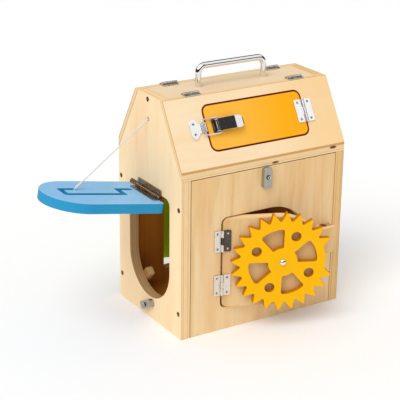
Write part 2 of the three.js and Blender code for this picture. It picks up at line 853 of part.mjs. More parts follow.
const frontDoorOutline = lyingOutline(
  doorGap / 2,
  frontOpeningBottom + doorGap,
  frontOpeningLength - 2 * doorGap,
  frontOpeningHeight - 2 * doorGap,
  frontOpeningCorner - doorGap
);
const frontDoor = addDoor(
  house,
  "front_door",
  frontHingeAxis,
  frontDoorOutline,
  [disc(wheelOffset, wheelHeight, wheelBoreRadius)],
  { bottom: frontOpeningBottom, top: frontOpeningBottom + frontOpeningHeight },
  frontDoorAngle,
  plywood
);

const backDoorOutline = rectangle(
  doorGap / 2,
  backOpeningBottom + doorGap,
  backOpeningLength - 2 * doorGap,
  backOpeningHeight - 2 * doorGap,
  backOpeningCorner - doorGap
);
addDoor(
  backSide,
  "back_door",
  backHingeAxis,
  backDoorOutline,
  [],
  { bottom: backOpeningBottom, top: backOpeningBottom + backOpeningHeight },
  backDoorAngle,
  green
);

// Toothed wheel: pointed teeth all round but for a toothless gap that clears the catch
function wheelOutline() {
  const points = [];
  const put = (radius, angle) => {
    const turned = angle * degree;
    points.push(new THREE.Vector2(radius * Math.cos(turned), radius * Math.sin(turned)));
  };
  for (let tooth = 0; tooth < wheelTeeth; tooth += 1) {
    const middle = firstToothAngle + tooth * toothPitchAngle;
    put(wheelRootRadius, middle - toothRootAngle);
    put(wheelTipRadius, middle - toothTipAngle);
    put(wheelTipRadius, middle + toothTipAngle);
    put(wheelRootRadius, middle + toothRootAngle);
  }
  const gapStart = firstToothAngle + (wheelTeeth - 1) * toothPitchAngle + toothRootAngle;
  const gapEnd = firstToothAngle + 360 - toothRootAngle;
  const gapSteps = Math.ceil((gapEnd - gapStart) / toothRootAngle);
  for (let k = 1; k < gapSteps; k += 1) {
    put(wheelRootRadius, gapStart + ((gapEnd - gapStart) * k) / gapSteps);
  }
  return new THREE.Shape(points);
}

function sectorOutline(middle) {
  const points = [];
  const outerSteps = 6;
  const innerSteps = 3;
  for (let k = 0; k <= outerSteps; k += 1) {
    const angle = (middle + wheelWindowAngle * ((2 * k) / outerSteps - 1)) * degree;
    const corner = k === 0 || k === outerSteps ? wheelWindowCorner : 0;
    points.push([wheelWindowOuter * Math.cos(angle), wheelWindowOuter * Math.sin(angle), corner]);
  }
  for (let k = 0; k <= innerSteps; k += 1) {
    const angle = (middle + wheelWindowAngle * (1 - (2 * k) / innerSteps)) * degree;
    const corner = k === 0 || k === innerSteps ? wheelWindowCorner / 2 : 0;
    points.push([wheelWindowInner * Math.cos(angle), wheelWindowInner * Math.sin(angle), corner]);
  }
  return rounded(points, 3);
}

const wheelShape = wheelOutline();
wheelShape.holes.push(disc(0, 0, wheelBoreRadius));
const armPitch = 360 / wheelArms;
for (let k = 0; k < wheelArms; k += 1) {
  const sector = wheelPhaseAngle + armPitch * k;
  const hole = (sector + armPitch / 2) * degree;
  wheelShape.holes.push(sectorOutline(sector));
  const across = wheelHoleOffset * Math.cos(hole);
  const up = wheelHoleOffset * Math.sin(hole);
  wheelShape.holes.push(disc(across, up, wheelHoleRadius, 20));
}
const wheelBack = -wheelStandoff;
const wheelGroup = addGroup(frontDoor, wheelOffset, knuckleRise, wheelHeight);
addPiece(wheelGroup, "wheel", slabY(wheelShape, wheelBack, wheelBack - wheelThickness), yellow);

// Bolt of the wheel: nut behind the door, shank, collar that spaces the wheel, domed head
function turned(profile, sides) {
  const lathe = new THREE.LatheGeometry(
    profile.map(([radius, height]) => new THREE.Vector2(radius, height)),
    sides
  );
  return toSolid(lathe);
}

const headFrom = wheelStandoff + wheelThickness + runningGap;
const nutFrom = -doorThickness - runningGap;
const dome = [1, 2, 3].map((k) => {
  const angle = (k * Math.PI) / 8;
  return [boltHeadRadius * Math.cos(angle), headFrom + boltHeadHeight * Math.sin(angle)];
});
const boltProfile = [
  [0, nutFrom - boltNutHeight],
  [boltNutRadius, nutFrom - boltNutHeight],
  [boltNutRadius, nutFrom],
  [boltRadius, nutFrom],
  [boltRadius, runningGap],
  [boltCollarRadius, runningGap],
  [boltCollarRadius, wheelStandoff - runningGap],
  [boltRadius, wheelStandoff - runningGap],
  [boltRadius, headFrom],
  [boltHeadRadius, headFrom],
  ...dome,
  [0, headFrom + boltHeadHeight],
];
const bolt = addPiece(wheelGroup, "wheel_bolt", turned(boltProfile, smallSides), chrome);
bolt.rotation.x = Math.PI;

// Catch: a spacer and a lip that the teeth turn in behind
const catchBack = -halfDepth;
const lipBack = catchBack - wheelStandoff - wheelThickness - catchRunning;
const spacerOutline = rectangle(
  catchLeft + catchOverhang,
  catchBottom,
  catchWidth - catchOverhang,
  catchHeight,
  catchCorner
);
const lipOutline = rectangle(catchLeft, catchBottom, catchWidth, catchHeight, catchCorner);
addPiece(house, "catch_spacer", slabY(spacerOutline, catchBack, lipBack), plywood);
addPiece(house, "catch_lip", slabY(lipOutline, lipBack, lipBack - catchLipThickness), plywood);

// Side door: hangs from its hinge when closed, swung up and out in this pose
const sideAxisX = -halfWidth - sideKnuckleRise;
const sideDoor = addGroup(house, sideAxisX, 0, sideHingeAxis);
sideDoor.rotation.y = sideDoorAngle * degree;
const sideDoorTop = sideHingeDrop - sideDoorTopGap;
const sideDoorFoot = sideOpeningBottom + doorGap - sideHingeAxis;
const sideHalf = sideDoorWidth / 2;
const sideDoorOutline = rounded([
  [sideDoorShift - sideHalf, sideDoorFoot, sideHalf],
  [sideDoorShift + sideHalf, sideDoorFoot, sideHalf],
  [sideDoorShift + sideHalf, sideDoorTop, sideDoorCorner],
  [sideDoorShift - sideHalf, sideDoorTop, sideDoorCorner],
], arcSteps);
const slotTurns = [
  [slotFarSide, slotInnerEnd],
  [slotFarSide, slotInnerCross],
  [-slotNearSide, slotInnerCross],
  [-slotNearSide, slotOuterCross],
  [slotFarSide, slotOuterCross],
  [slotFarSide, slotOuterEnd],
];
const doorFace = sideKnuckleRise;
const doorBack = sideKnuckleRise + doorThickness;
let sidePanel = slabX(sideDoorOutline, doorFace, doorBack);
for (let i = 1; i < slotTurns.length; i += 1) {
  const [y1, z1] = slotTurns[i - 1];
  const [y2, z2] = slotTurns[i];
  const stroke = bar(y1, -z1, y2, -z2, slotWidth / 2);
  sidePanel = sidePanel.subtract(slabX(stroke, doorFace - cutOverrun, doorBack + cutOverrun));
}
addPiece(sideDoor, "side_door", sidePanel, blue);

for (const moving of [false, true]) {
  const seat = moving
    ? addGroup(sideDoor, 0, -sideHingeShift, 0)
    : addGroup(house, sideAxisX, -sideHingeShift, sideHingeAxis);
  seat.rotation.set(0, -Math.PI / 2, Math.PI);
  const name = moving ? "side_hinge_door_leaf" : "side_hinge_gable_leaf";
  addPiece(seat, name, hingeLeaf(sideHinge, moving), bronze);
}

// String: knotted inside the gable, run through its hole and down to the slot
const slotPlace = new THREE.Vector3(doorFace, stringSlotShift, -slotOuterEnd);
const slotInHouse = slotPlace.clone().applyAxisAngle(yAxis, sideDoorAngle * degree);
slotInHouse.add(new THREE.Vector3(sideAxisX, 0, sideHingeAxis));
const holeMouth = new THREE.Vector3(-halfWidth, stringHoleShift, stringHoleHeight);
const knotPlace = wallThickness - halfWidth + runningGap + stringKnotRadius;
const stringRun = slotInHouse.clone().sub(holeMouth);
const sleeveStart = stringRun.length() - sleeveRise - sleeveLength - runningGap;
const stringEnd = stringRun.clone().setLength(sleeveStart).add(holeMouth);
const stringPath = route([
  new THREE.Vector3(knotPlace, stringHoleShift, stringHoleHeight),
  holeMouth,
  stringEnd,
], stringBend);
const knotBall = new THREE.SphereGeometry(stringKnotRadius, screwSides, 6);
const knot = toSolid(knotBall, flat, knotPlace, stringHoleShift, stringHoleHeight);
addPiece(house, "string", tube(stringPath, stringRadius, 36, 8).add(knot), cotton);

// The string's lower end: sleeve above the slot, stem through it, bead under the door
const up = stringRun.clone().negate().applyAxisAngle(yAxis, -sideDoorAngle * degree).normalize();
const sleeveFrom = slotPlace.clone().addScaledVector(up, sleeveRise);
const sleeveTo = slotPlace.clone().addScaledVector(up, sleeveRise + sleeveLength);
const beadPlace = new THREE.Vector3(doorBack + beadRadius + runningGap, stringSlotShift, -slotOuterEnd);
const sleeve = tube(new THREE.LineCurve3(sleeveFrom, sleeveTo), sleeveRadius, 1, tubeSides);
const neck = tube(new THREE.LineCurve3(slotPlace, sleeveTo), stringRadius, 1, 8);
const stem = tube(new THREE.LineCurve3(slotPlace, beadPlace), stringRadius, 1, 8);
const elbow = new THREE.SphereGeometry(stringRadius, 8, 6);
const bead = new THREE.SphereGeometry(beadRadius, smallSides, 10);
const pegSolid = joined([
  sleeve,
  neck,
  stem,
  toSolid(elbow, flat, ...slotPlace.toArray()),
  toSolid(bead, flat, ...beadPlace.toArray()),
]);
addPiece(sideDoor, "string_bead", pegSolid, cotton);

// Stop block glued to the inside of the left gable
const stopGroup = addGroup(house, 0, 0, sideOpeningBottom + sideRound);
const stopInner = wallThickness - halfWidth;
const stopOutline = rectangle(
  sideRound - stopReach,
  -stopLength / 2,
  stopDepth,
  stopLength,
  stopCorner
);
stopGroup.rotation.x = stopAngle * degree;
addPiece(stopGroup, "side_door_stop", slabX(stopOutline, stopInner, stopInner + stopThickness), plywood);

// Turn buttons: a bar that turns on a screw, its arms short along X and long along -X where
// it sits under a roof flap, so that it frees the flap in this pose. Z points off the wall.
function addTurnButton(parent, name, place, rotation, angle, outline) {
  const seat = addGroup(parent, ...place);
  seat.rotation.set(...rotation);
  const button = addGroup(seat);
  button.rotation.z = angle * degree;
  outline.holes.push(disc(0, 0, pilotRadius));
  addPiece(button, name, slabZ(outline, turnStandoff, turnStandoff + turnThickness), grey);
  const headFloor = turnStandoff + turnThickness + runningGap;
  const profile = [
    [0, runningGap - pivotDepth],
    [pivotRadius, runningGap - pivotDepth],
    [pivotRadius, headFloor],
    [pivotHeadRadius, headFloor],
    [pivotHeadRadius * screwTopShare, headFloor + pivotHeadHeight],
    [0, headFloor + pivotHeadHeight],
  ];
  const screw = addPiece(seat, name + "_screw", turned(profile, smallSides), nickel);
  screw.rotation.x = Math.PI / 2;
}

function turnOutline() {
  return rectangle(-turnLongArm, -turnWidth / 2, turnLongArm + turnShortArm, turnWidth, turnCorner);
}

const facingFront = [Math.PI / 2, 0, 0];
const facingLeft = [0, -Math.PI / 2, 0];
const frontTurn = [0, -halfDepth, turnHeight];
const backTurn = [backTurnShift, -halfDepth, backTurnHeight];
const sideTurn = [-halfWidth, sideTurnShift, sideTurnHeight];
addTurnButton(house, "front_turn_button", frontTurn, facingFront, 90, turnOutline());
addTurnButton(backSide, "back_turn_button", frontTurn, facingFront, 90, turnOutline());
addTurnButton(backSide, "back_door_button", backTurn, facingFront, 90, turnOutline());
const sideTurnOutline = rectangle(
  -sideTurnLength / 2,
  -sideTurnWidth / 2,
  sideTurnLength,
  sideTurnWidth,
  sideTurnCorner
);
addTurnButton(house, "side_turn_button", sideTurn, facingLeft, sideTurnAngle + 90, sideTurnOutline);

export default house;
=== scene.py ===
import json
import math

import bmesh
import bpy
from mathutils import Matrix, Quaternion, Vector


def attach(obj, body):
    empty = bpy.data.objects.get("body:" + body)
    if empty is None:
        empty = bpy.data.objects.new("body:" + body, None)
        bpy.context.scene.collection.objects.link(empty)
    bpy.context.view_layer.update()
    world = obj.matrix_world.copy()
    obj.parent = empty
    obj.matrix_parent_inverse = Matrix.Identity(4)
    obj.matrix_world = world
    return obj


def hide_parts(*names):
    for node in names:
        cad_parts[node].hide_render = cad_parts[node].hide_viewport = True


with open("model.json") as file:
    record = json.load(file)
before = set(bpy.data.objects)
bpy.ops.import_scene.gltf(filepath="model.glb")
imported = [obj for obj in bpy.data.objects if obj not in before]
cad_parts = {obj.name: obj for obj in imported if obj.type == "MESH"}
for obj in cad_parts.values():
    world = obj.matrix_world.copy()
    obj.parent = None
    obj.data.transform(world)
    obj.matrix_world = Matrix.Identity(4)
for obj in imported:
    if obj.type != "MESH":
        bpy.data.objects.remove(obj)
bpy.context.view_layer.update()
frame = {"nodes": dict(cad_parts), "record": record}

# All lengths are metres; mm turns a size in millimetres into one.
mm = 0.001
slotOf = {part["node"]: part["material_slot"] for part in frame["record"]["subparts"]}
bodies = frame["record"]["behaviour"]["bodies"]
bodyOf = {node: body for body, nodes in bodies.items() for node in nodes}

# The house seen from its end, and the angles of its doors at rest: the front and back doors'
# from their walls, and the side door's above level
house = {
    "depth": 157.2 * mm,
    "height": 295.4 * mm,
    "eave": 219.1 * mm,
    "flatTop": 67.2 * mm,
    "frontDoor": math.radians(22),
    "backDoor": math.radians(15),
    "sideDoor": math.radians(10.64),
}
slopeRise = house["height"] - house["eave"]
slopeRun = (house["depth"] - house["flatTop"]) / 2
slopeAngle = math.atan2(slopeRise, slopeRun)

acrossHouse = Vector((1, 0, 0))
throughHouse = Vector((0, 1, 0))
upward = Vector((0, 0, 1))
frontSlopeOut = Vector((0, -math.sin(slopeAngle), math.cos(slopeAngle)))
backSlopeOut = Vector((0, math.sin(slopeAngle), math.cos(slopeAngle)))

# The photograph's camera
photoCamera = {
    "lens": 114.76,
    "sensor": 36,
    "azimuth": math.radians(-31.79),
    "elevation": math.radians(21.0),
    "roll": math.radians(0.67),
    "target": Vector((-45.6, 0, 145.4)) * mm,
    "distance": 1621.4 * mm,
    "nearest": 0.05,
    "farthest": 50,
}


def addCamera(values):
    data = bpy.data.cameras.new("photo_camera")
    data.lens = values["lens"]
    data.sensor_width = values["sensor"]
    data.clip_start = values["nearest"]
    data.clip_end = values["farthest"]
    camera = bpy.data.objects.new("photo_camera", data)
    bpy.context.scene.collection.objects.link(camera)
    level = math.cos(values["elevation"])
    back = Vector(
        (
            math.sin(values["azimuth"]) * level,
            -math.cos(values["azimuth"]) * level,
            math.sin(values["elevation"]),
        )
    )
    camera.location = values["target"] + back * values["distance"]
    camera.rotation_mode = "QUATERNION"
    aim = (-back).to_track_quat("-Z", "Y")
    camera.rotation_quaternion = aim @ Quaternion((0, 0, 1), values["roll"])
    bpy.context.scene.camera = camera


addCamera(photoCamera)
bpy.context.scene.view_settings.view_transform = "Standard"
print("camera set")


# Shader maths: a wire is one output of a node, and arithmetic on wires makes Math nodes.
class Wire:
    def __init__(self, paint, socket):
        self.paint = paint
        self.socket = socket

    def maths(self, operation, *others):
        return self.paint.maths(operation, self, *others)

    def __add__(self, other):
        return self.paint.maths("ADD", self, other)

    def __radd__(self, other):
        return self.paint.maths("ADD", other, self)

    def __sub__(self, other):
        return self.paint.maths("SUBTRACT", self, other)

    def __rsub__(self, other):
        return self.paint.maths("SUBTRACT", other, self)

    def __mul__(self, other):
        return self.paint.maths("MULTIPLY", self, other)

    def __rmul__(self, other):
        return self.paint.maths("MULTIPLY", other, self)

    def __truediv__(self, other):
        return self.paint.maths("DIVIDE", self, other)

    def __rtruediv__(self, other):
        return self.paint.maths("DIVIDE", other, self)


class Shading:
    def __init__(self, tree, coordinates):
        self.tree = tree
        tree.nodes.clear()
        self.place = self.node("ShaderNodeTexCoord", {}, {}, coordinates)

    def node(self, kind, settings, sockets, result=0):
        made = self.tree.nodes.new(kind)
        for key, value in settings.items():
            setattr(made, key, value)
        for key, value in sockets.items():
            matches = [s for s in made.inputs if key in (s.identifier, s.name)]
            self.plug(matches[0], value)
        return Wire(self, made.outputs[result])

    def plug(self, socket, value):
        if isinstance(value, Wire):
            self.tree.links.new(value.socket, socket)
        else:
            socket.default_value = value

    def maths(self, operation, *values):
        made = self.tree.nodes.new("ShaderNodeMath")
        made.operation = operation
        for socket, value in zip(made.inputs, values):
            self.plug(socket, value)
        return Wire(self, made.outputs[0])

    def vectorMaths(self, operation, first, second=(0, 0, 0), result="Vector"):
        sockets = {"Vector": first, "Vector_001": tuple(second)}
        return self.node("ShaderNodeVectorMath", {"operation": operation}, sockets, result)

    def dot(self, direction):
        return self.vectorMaths("DOT_PRODUCT", self.place, direction, "Value")

    def stretched(self, places, shares):
        # Three places as one vector, each run slower or faster by its share
        sockets = {}
        for key, place, share in zip("XYZ", places, shares):
            sockets[key] = place if share == 1 else place * share
        return self.node("ShaderNodeCombineXYZ", {}, sockets)

    def ramp(self, value, low, high):
        settings = {"interpolation_type": "SMOOTHSTEP"}
        sockets = {"Value": value, "From Min": low, "From Max": high}
        return self.node("ShaderNodeMapRange", settings, sockets)

    def noise(self, vector, form, seed):
        # A form with a cut has its noise ramped softly from nothing to all between two values
        sockets = {
            "Vector": vector,
            "W": seed + form["seed"],
            "Scale": form["scale"],
            "Detail": form["detail"],
            "Roughness": form.get("roughness", 0.5),
        }
        made = self.node("ShaderNodeTexNoise", {"noise_dimensions": "4D"}, sockets, "Fac")
        return self.ramp(made, *form["cut"]) if "cut" in form else made

    def weighted(self, patterns, shares):
        # The patterns named in the shares, each by its share, on top of a base
        total = shares["base"]
        for key, share in shares.items():
            if key != "base":
                total = patterns[key] * share + total
        return total

    def blend(self, share, first, second):
        settings = {"data_type": "RGBA"}
        sockets = {
            "Factor_Float": share,
            "A_Color": self.opaque(first),
            "B_Color": self.opaque(second),
        }
        return self.node("ShaderNodeMix", settings, sockets, 2)

    def opaque(self, colour):
        return colour if isinstance(colour, Wire) else (*colour, 1.0)

    def bump(self, height, form):
        sockets = {"Height": height, "Distance": form["distance"], "Strength": form["strength"]}
        return self.node("ShaderNodeBump", {}, sockets)


class Paint(Shading):
    def __init__(self, name):
        self.material = bpy.data.materials.new(name)
        self.material.use_nodes = True
        super().__init__(self.material.node_tree, "Object")
        output = self.tree.nodes.new("ShaderNodeOutputMaterial")
        self.shader = self.tree.nodes.new("ShaderNodeBsdfPrincipled")
        self.tree.links.new(self.shader.outputs[0], output.inputs["Surface"])

    def finish(self, **sockets):
        for key, value in sockets.items():
            socket = self.shader.inputs[key.replace("_", " ")]
            self.plug(socket, value)
        return self.material


# Boards carry axes of their own: along the grain, across it, and through the thickness.
def boardAxes(grain, through):
    return {"along": grain, "across": through.cross(grain), "through": through}


def turnedAbout(axis, angle, axes):
    turn = Matrix.Rotation(angle, 3, axis)
    return {key: turn @ value for key, value in axes.items()}


axesOf = {
    "gable": boardAxes(upward, acrossHouse),
    "wall": boardAxes(upward, throughHouse),
    "level": boardAxes(acrossHouse, upward),
    "slope": boardAxes(acrossHouse, frontSlopeOut),
    "backSlope": boardAxes(acrossHouse, backSlopeOut),
}
axesOf["frontDoor"] = turnedAbout("Z", -house["frontDoor"], axesOf["wall"])
axesOf["backDoor"] = turnedAbout("Z", -house["backDoor"], axesOf["wall"])
axesOf["sideDoor"] = turnedAbout("Y", house["sideDoor"], axesOf["level"])


def boardPlaces(paint, axes):
    return [paint.dot(axes[key]) for key in ("along", "across", "through")]


def tinted(colour, factors):
    return tuple(part * factor for part, factor in zip(colour, factors))


# Each wood: pale, golden and streak tones, and its inside tone, which for the pale and golden
# woods of the gables, walls and floor is a dark brown of painted shade
woodTones = {
    "pale": ((0.97, 0.76, 0.47), (0.94, 0.67, 0.38), (0.74, 0.45, 0.22), (0.56, 0.19, 0.008)),
    "roof": ((0.93, 0.74, 0.49), (0.89, 0.65, 0.37), (0.72, 0.46, 0.23), (0.82, 0.58, 0.32)),
    "level": ((0.88, 0.70, 0.47), (0.82, 0.61, 0.37), (0.64, 0.39, 0.18), (0.82, 0.58, 0.32)),
    "golden": ((0.90, 0.70, 0.41), (0.81, 0.54, 0.25), (0.60, 0.30, 0.10), (0.54, 0.18, 0.007)),
    "door": ((0.78, 0.55, 0.28), (0.68, 0.43, 0.17), (0.50, 0.26, 0.08), (0.66, 0.42, 0.18)),
    "brown": ((0.70, 0.46, 0.28), (0.60, 0.36, 0.20), (0.40, 0.20, 0.09), (0.46, 0.22, 0.07)),
}

# A board's faces. Noises run slower along the grain than across it, and growth rings are the
# contours of the broadest one, dark on one side and fading on the other.
veneerForm = {
    "figureStretch": (0.11, 1, 0.2),
    "streakStretch": (0.13, 1, 0.2),
    "fibreStretch": (0.03, 1, 0.3),
    "broad": {"scale": 17, "detail": 3, "seed": 0},
    "flame": {"scale": 48, "detail": 3, "seed": 3, "cut": (0.42, 0.66)},
    "blush": {"scale": 26, "detail": 2, "seed": 4, "cut": (0.42, 0.66)},
    "fibres": {"scale": 1100, "detail": 2, "seed": 5},
    "streaks": {"scale": 130, "detail": 3, "seed": 6, "roughness": 0.6},
    "pores": {"scale": 2600, "detail": 1, "seed": 7, "cut": (0.62, 0.76)},
    "patches": {"scale": 90, "detail": 2, "seed": 9, "cut": (0.45, 0.75)},
    "ringCount": 9,
    "ringRise": (0.2, 0.9),
    "ringFall": (1.0, 0.9),
    "tone": {"base": -0.77, "broad": 0.4, "rings": 0.12, "flame": 0.35, "streaks": 1.2},
    "rosyTint": (1.04, 0.9, 0.9),
    "rosyShare": 0.4,
    "warmTint": (1.0, 0.93, 0.77),
    "markShare": 0.22,
    "specks": {"base": 0.1, "pores": 0.14, "fibres": -0.1},
    # Inner faces blend to the inside tone, painted shade of the box's inside
    "insideDepth": (0.6, 0.9),  # as shares of the board's thickness
    "insideShare": 0.95,
    "insideTint": (0.7, 0.7, 0.7),
    "jointCore": 0.4,  # the share of a glued joint's width that is brown throughout
    "jointShare": 0.9,
    "jointTone": (0.22, 0.08, 0.015),
    "roughness": {"base": 0.4, "fibres": 0.2, "pores": 0.15, "inside": 0.15},
    "height": {"base": 0, "fibres": 0.6, "pores": -0.8, "rings": 0.2},
    "bump": {"distance": 0.05 * mm, "strength": 0.6},
    "specular": 0.1,
    "coat": 0.04,
    "coatRoughness": 0.3,
}


def veneer(name, board):
    light, golden, streak, shadedInside = woodTones[board["wood"]]
    form = veneerForm
    seed = board["seed"]
    contrast = board["figure"]
    paint = Paint(name)
    places = boardPlaces(paint, board)
    along, across = places[:2]
    figure = paint.stretched(places, form["figureStretch"])
    fine = paint.stretched(places, form["fibreStretch"])
    broad = paint.noise(figure, form["broad"], seed)
    ring = (broad * form["ringCount"]).maths("FRACT")
    depth = (board["face"] - paint.dot(board["out"])) / board["thickness"]
    patterns = {
        "broad": broad,
        "rings": paint.ramp(ring, *form["ringRise"]) * paint.ramp(ring, *form["ringFall"]),
        "flame": paint.noise(figure, form["flame"], seed),
        "streaks": paint.noise(paint.stretched(places, form["streakStretch"]), form["streaks"], seed),
        "fibres": paint.noise(fine, form["fibres"], seed),
        "pores": paint.noise(fine, form["pores"], seed),
        "inside": paint.ramp(depth, *form["insideDepth"]),
    }
    tone = paint.weighted(patterns, form["tone"])
    colour = paint.blend(tone * contrast, light, golden)
    blush = paint.noise(figure, form["blush"], seed)
    colour = paint.blend(blush * (form["rosyShare"] * contrast), colour, tinted(golden, form["rosyTint"]))
    if board["drift"]:
        low, high, share = board["drift"]
        colour = paint.blend(paint.ramp(along, low, high) * share, colour, tinted(golden, form["warmTint"]))
    marks = patterns["rings"] * paint.noise(figure, form["patches"], seed)
    colour = paint.blend(marks * (form["markShare"] * contrast), colour, streak)
    colour = paint.blend(paint.weighted(patterns, form["specks"]) * contrast, colour, streak)
    # Inner faces take the inside tone: on the gables, walls and floor a painted shade
    shadedInsideTone = paint.blend(tone, shadedInside, tinted(shadedInside, form["insideTint"]))
    colour = paint.blend(patterns["inside"] * form["insideShare"], colour, shadedInsideTone)
    if board["joint"] > 0:
        # A glued joint: the strip beside the neighbouring board is browned
        middle = sum(board["sides"]) / 2
        half = board["sides"][1] - middle
        start = half - board["joint"]
        full = half - board["joint"] * form["jointCore"]
        beside = paint.ramp((across - middle).maths("ABSOLUTE"), start, full)
        colour = paint.blend(beside * form["jointShare"], colour, form["jointTone"])
    return paint.finish(
        Base_Color=colour,
        Roughness=paint.weighted(patterns, form["roughness"]),
        Specular_IOR_Level=form["specular"],
        Coat_Weight=(1 - patterns["inside"]) * form["coat"],
        Coat_Roughness=form["coatRoughness"],
        Normal=paint.bump(paint.weighted(patterns, form["height"]), form["bump"]),
    )


# A board's sawn edges: plies cut along and across their grain in turn, with glue lines between
plyForm = {
    "plies": 4,
    "wanderStretch": (0.1, 0.1, 1),
    "fibreStretch": (0.04, 0.04, 1),
    "patchStretch": (1, 1, 4),
    "wander": {"scale": 45, "detail": 2, "seed": 0},
    "fibres": {"scale": 2000, "detail": 3, "seed": 2},
    "endGrain": {"scale": 2400, "detail": 2, "seed": 4},
    "patches": {"scale": 70, "detail": 2, "seed": 6},
    "seedStep": 0.5,
    "wanderBy": 0.35,  # plies
    "crossCut": (0.27, 0.19),
    "glueCut": (0.36, 0.5),
    "tone": {"base": -0.15, "cross": 0.3, "texture": 0.25, "patches": 0.25},
    "glueShare": 0.65,
    "skinFade": 0.4,
    "skinShare": 0.75,
    "rimGlue": 0.3,
    "knotCut": (1.3, 0.75),
    "knotRagged": 0.5,
    "knotShare": 0.95,
    "knotTone": (0.15, 0.035, 0.008),
    "roughness": {"base": 0.5, "texture": 0.2, "cross": 0.1},
    "height": {"base": 0, "texture": 1, "glue": -0.5, "cross": -0.2},
    "bump": {"distance": 0.08 * mm, "strength": 0.6},
    "specular": 0.1,
}
paleEdges = {
    "light": (0.93, 0.68, 0.38),
    "dark": (0.74, 0.47, 0.21),
    "glue": (0.32, 0.15, 0.05),
    "skin": (0.72, 0.44, 0.20),
    "skinDepth": 0.6,  # plies
}
roofEdges = {**paleEdges, "skin": (0.56, 0.25, 0.06), "skinDepth": 1.2}
brownEdges = {
    "light": (0.84, 0.56, 0.25),
    "dark": (0.66, 0.38, 0.14),
    "glue": (0.28, 0.12, 0.04),
    "skin": (0.56, 0.29, 0.11),
    "skinDepth": 0.6,
}


def fromMiddle(level):
    # How far a level lies from the middle of its whole step
    return (level.maths("FRACT") - 0.5).maths("ABSOLUTE")


def plyEdge(name, board):
    form = plyForm
    tones = board["edges"]
    seed = board["seed"] + form["seedStep"]
    paint = Paint(name)
    places = boardPlaces(paint, board)
    along, across = places[:2]
    ply = board["thickness"] / form["plies"]
    depth = (board["face"] - paint.dot(board["out"])) / ply
    wander = paint.noise(paint.stretched(places, form["wanderStretch"]), form["wander"], seed)
    level = depth + (wander - 0.5) * form["wanderBy"]
    cross = paint.ramp(fromMiddle(level / 2), *form["crossCut"])
    fibres = paint.noise(paint.stretched(places, form["fibreStretch"]), form["fibres"], seed)
    endGrain = paint.noise(paint.place, form["endGrain"], seed)
    patterns = {
        "cross": cross,
        "glue": paint.ramp(fromMiddle(level), *form["glueCut"]),
        "patches": paint.noise(paint.stretched(places, form["patchStretch"]), form["patches"], seed),
        "texture": fibres * (1 - cross) + endGrain * cross,
    }
    colour = paint.blend(paint.weighted(patterns, form["tone"]), tones["light"], tones["dark"])
    glue = patterns["glue"] * patterns["patches"]
    colour = paint.blend(glue * form["glueShare"], colour, tones["glue"])
    outer = paint.ramp(level, tones["skinDepth"], tones["skinDepth"] - form["skinFade"])
    colour = paint.blend(outer * form["skinShare"], colour, tones["skin"])
    # A rim darkened within a region: painted shade on sawn rims in shadow, round the window partly red
    # paint
    rim = board["rim"]
    if rim:
        within = 1
        for run, (low, high) in ((along, rim["along"]), (across, rim["across"])):
            inset = run.maths("SUBTRACT", low).maths("MINIMUM", high - run)
            within = paint.ramp(inset, 0, rim["fade"]) * within
        share = patterns["glue"] * form["rimGlue"] + rim["share"]
        colour = paint.blend(within * share, colour, rim["tone"])
    for centre, radii in board["knots"]:
        away = paint.vectorMaths("SUBTRACT", paint.place, centre)
        away = paint.vectorMaths("MULTIPLY", away, [1 / radius for radius in radii])
        away = paint.vectorMaths("LENGTH", away, result="Value")
        knot = paint.ramp(away + (endGrain - 0.5) * form["knotRagged"], *form["knotCut"])
        colour = paint.blend(knot * form["knotShare"], colour, form["knotTone"])
    return paint.finish(
        Base_Color=colour,
        Roughness=paint.weighted(patterns, form["roughness"]),
        Specular_IOR_Level=form["specular"],
        Normal=paint.bump(paint.weighted(patterns, form["height"]), form["bump"]),
    )


# Paint on wood: brushed along the grain, clouded, and rubbed pale in places
paintForm = {
    "fibreStretch": (0.04, 1, 1),
    "fibres": {"scale": 900, "detail": 3, "seed": 0},
    "cloud": {"scale": 34, "detail": 3, "seed": 1},
    "peel": {"scale": 700, "detail": 2, "seed": 2},
    "rubbed": {"scale": 150, "detail": 5, "seed": 3, "roughness": 0.7, "cut": (0.62, 0.8)},
    "tone": {"base": -0.1, "cloud": 0.6, "fibres": 0.4},
    "sheenFadeShare": 0.9,
    "rubbedWhite": 0.15,
    "roughness": {"base": -0.1, "peel": 0.1, "fibres": 0.1, "rubbed": 0.16},
    "height": {"base": 0, "fibres": 0.6, "peel": 0.5},
    "bump": {"distance": 0.04 * mm, "strength": 0.5},
    "specular": 0.08,
}


def painted(name, axes, tones, seed, rough, wear, fade=None):
    colour, deep = tones
    form = paintForm
    paint = Paint(name)
    places = boardPlaces(paint, axes)
    patterns = {
        "fibres": paint.noise(paint.stretched(places, form["fibreStretch"]), form["fibres"], seed),
        "cloud": paint.noise(paint.place, form["cloud"], seed),
        "peel": paint.noise(paint.place, form["peel"], seed),
        "rubbed": paint.noise(paint.place, form["rubbed"], seed),
    }
    hue = paint.blend(paint.weighted(patterns, form["tone"]), colour, deep)
    # A fade to a deeper colour along the piece; its paler start is a painted sheen
    if fade:
        low, high, far = fade
        hue = paint.blend(paint.ramp(places[0], low, high) * form["sheenFadeShare"], hue, far)
    pale = tuple(part + (1 - part) * form["rubbedWhite"] for part in colour)
    hue = paint.blend(patterns["rubbed"] * wear, hue, pale)
    return paint.finish(
        Base_Color=hue,
        Roughness=paint.weighted(patterns, form["roughness"]) + rough,
        Specular_IOR_Level=form["specular"],
        Normal=paint.bump(paint.weighted(patterns, form["height"]), form["bump"]),
    )


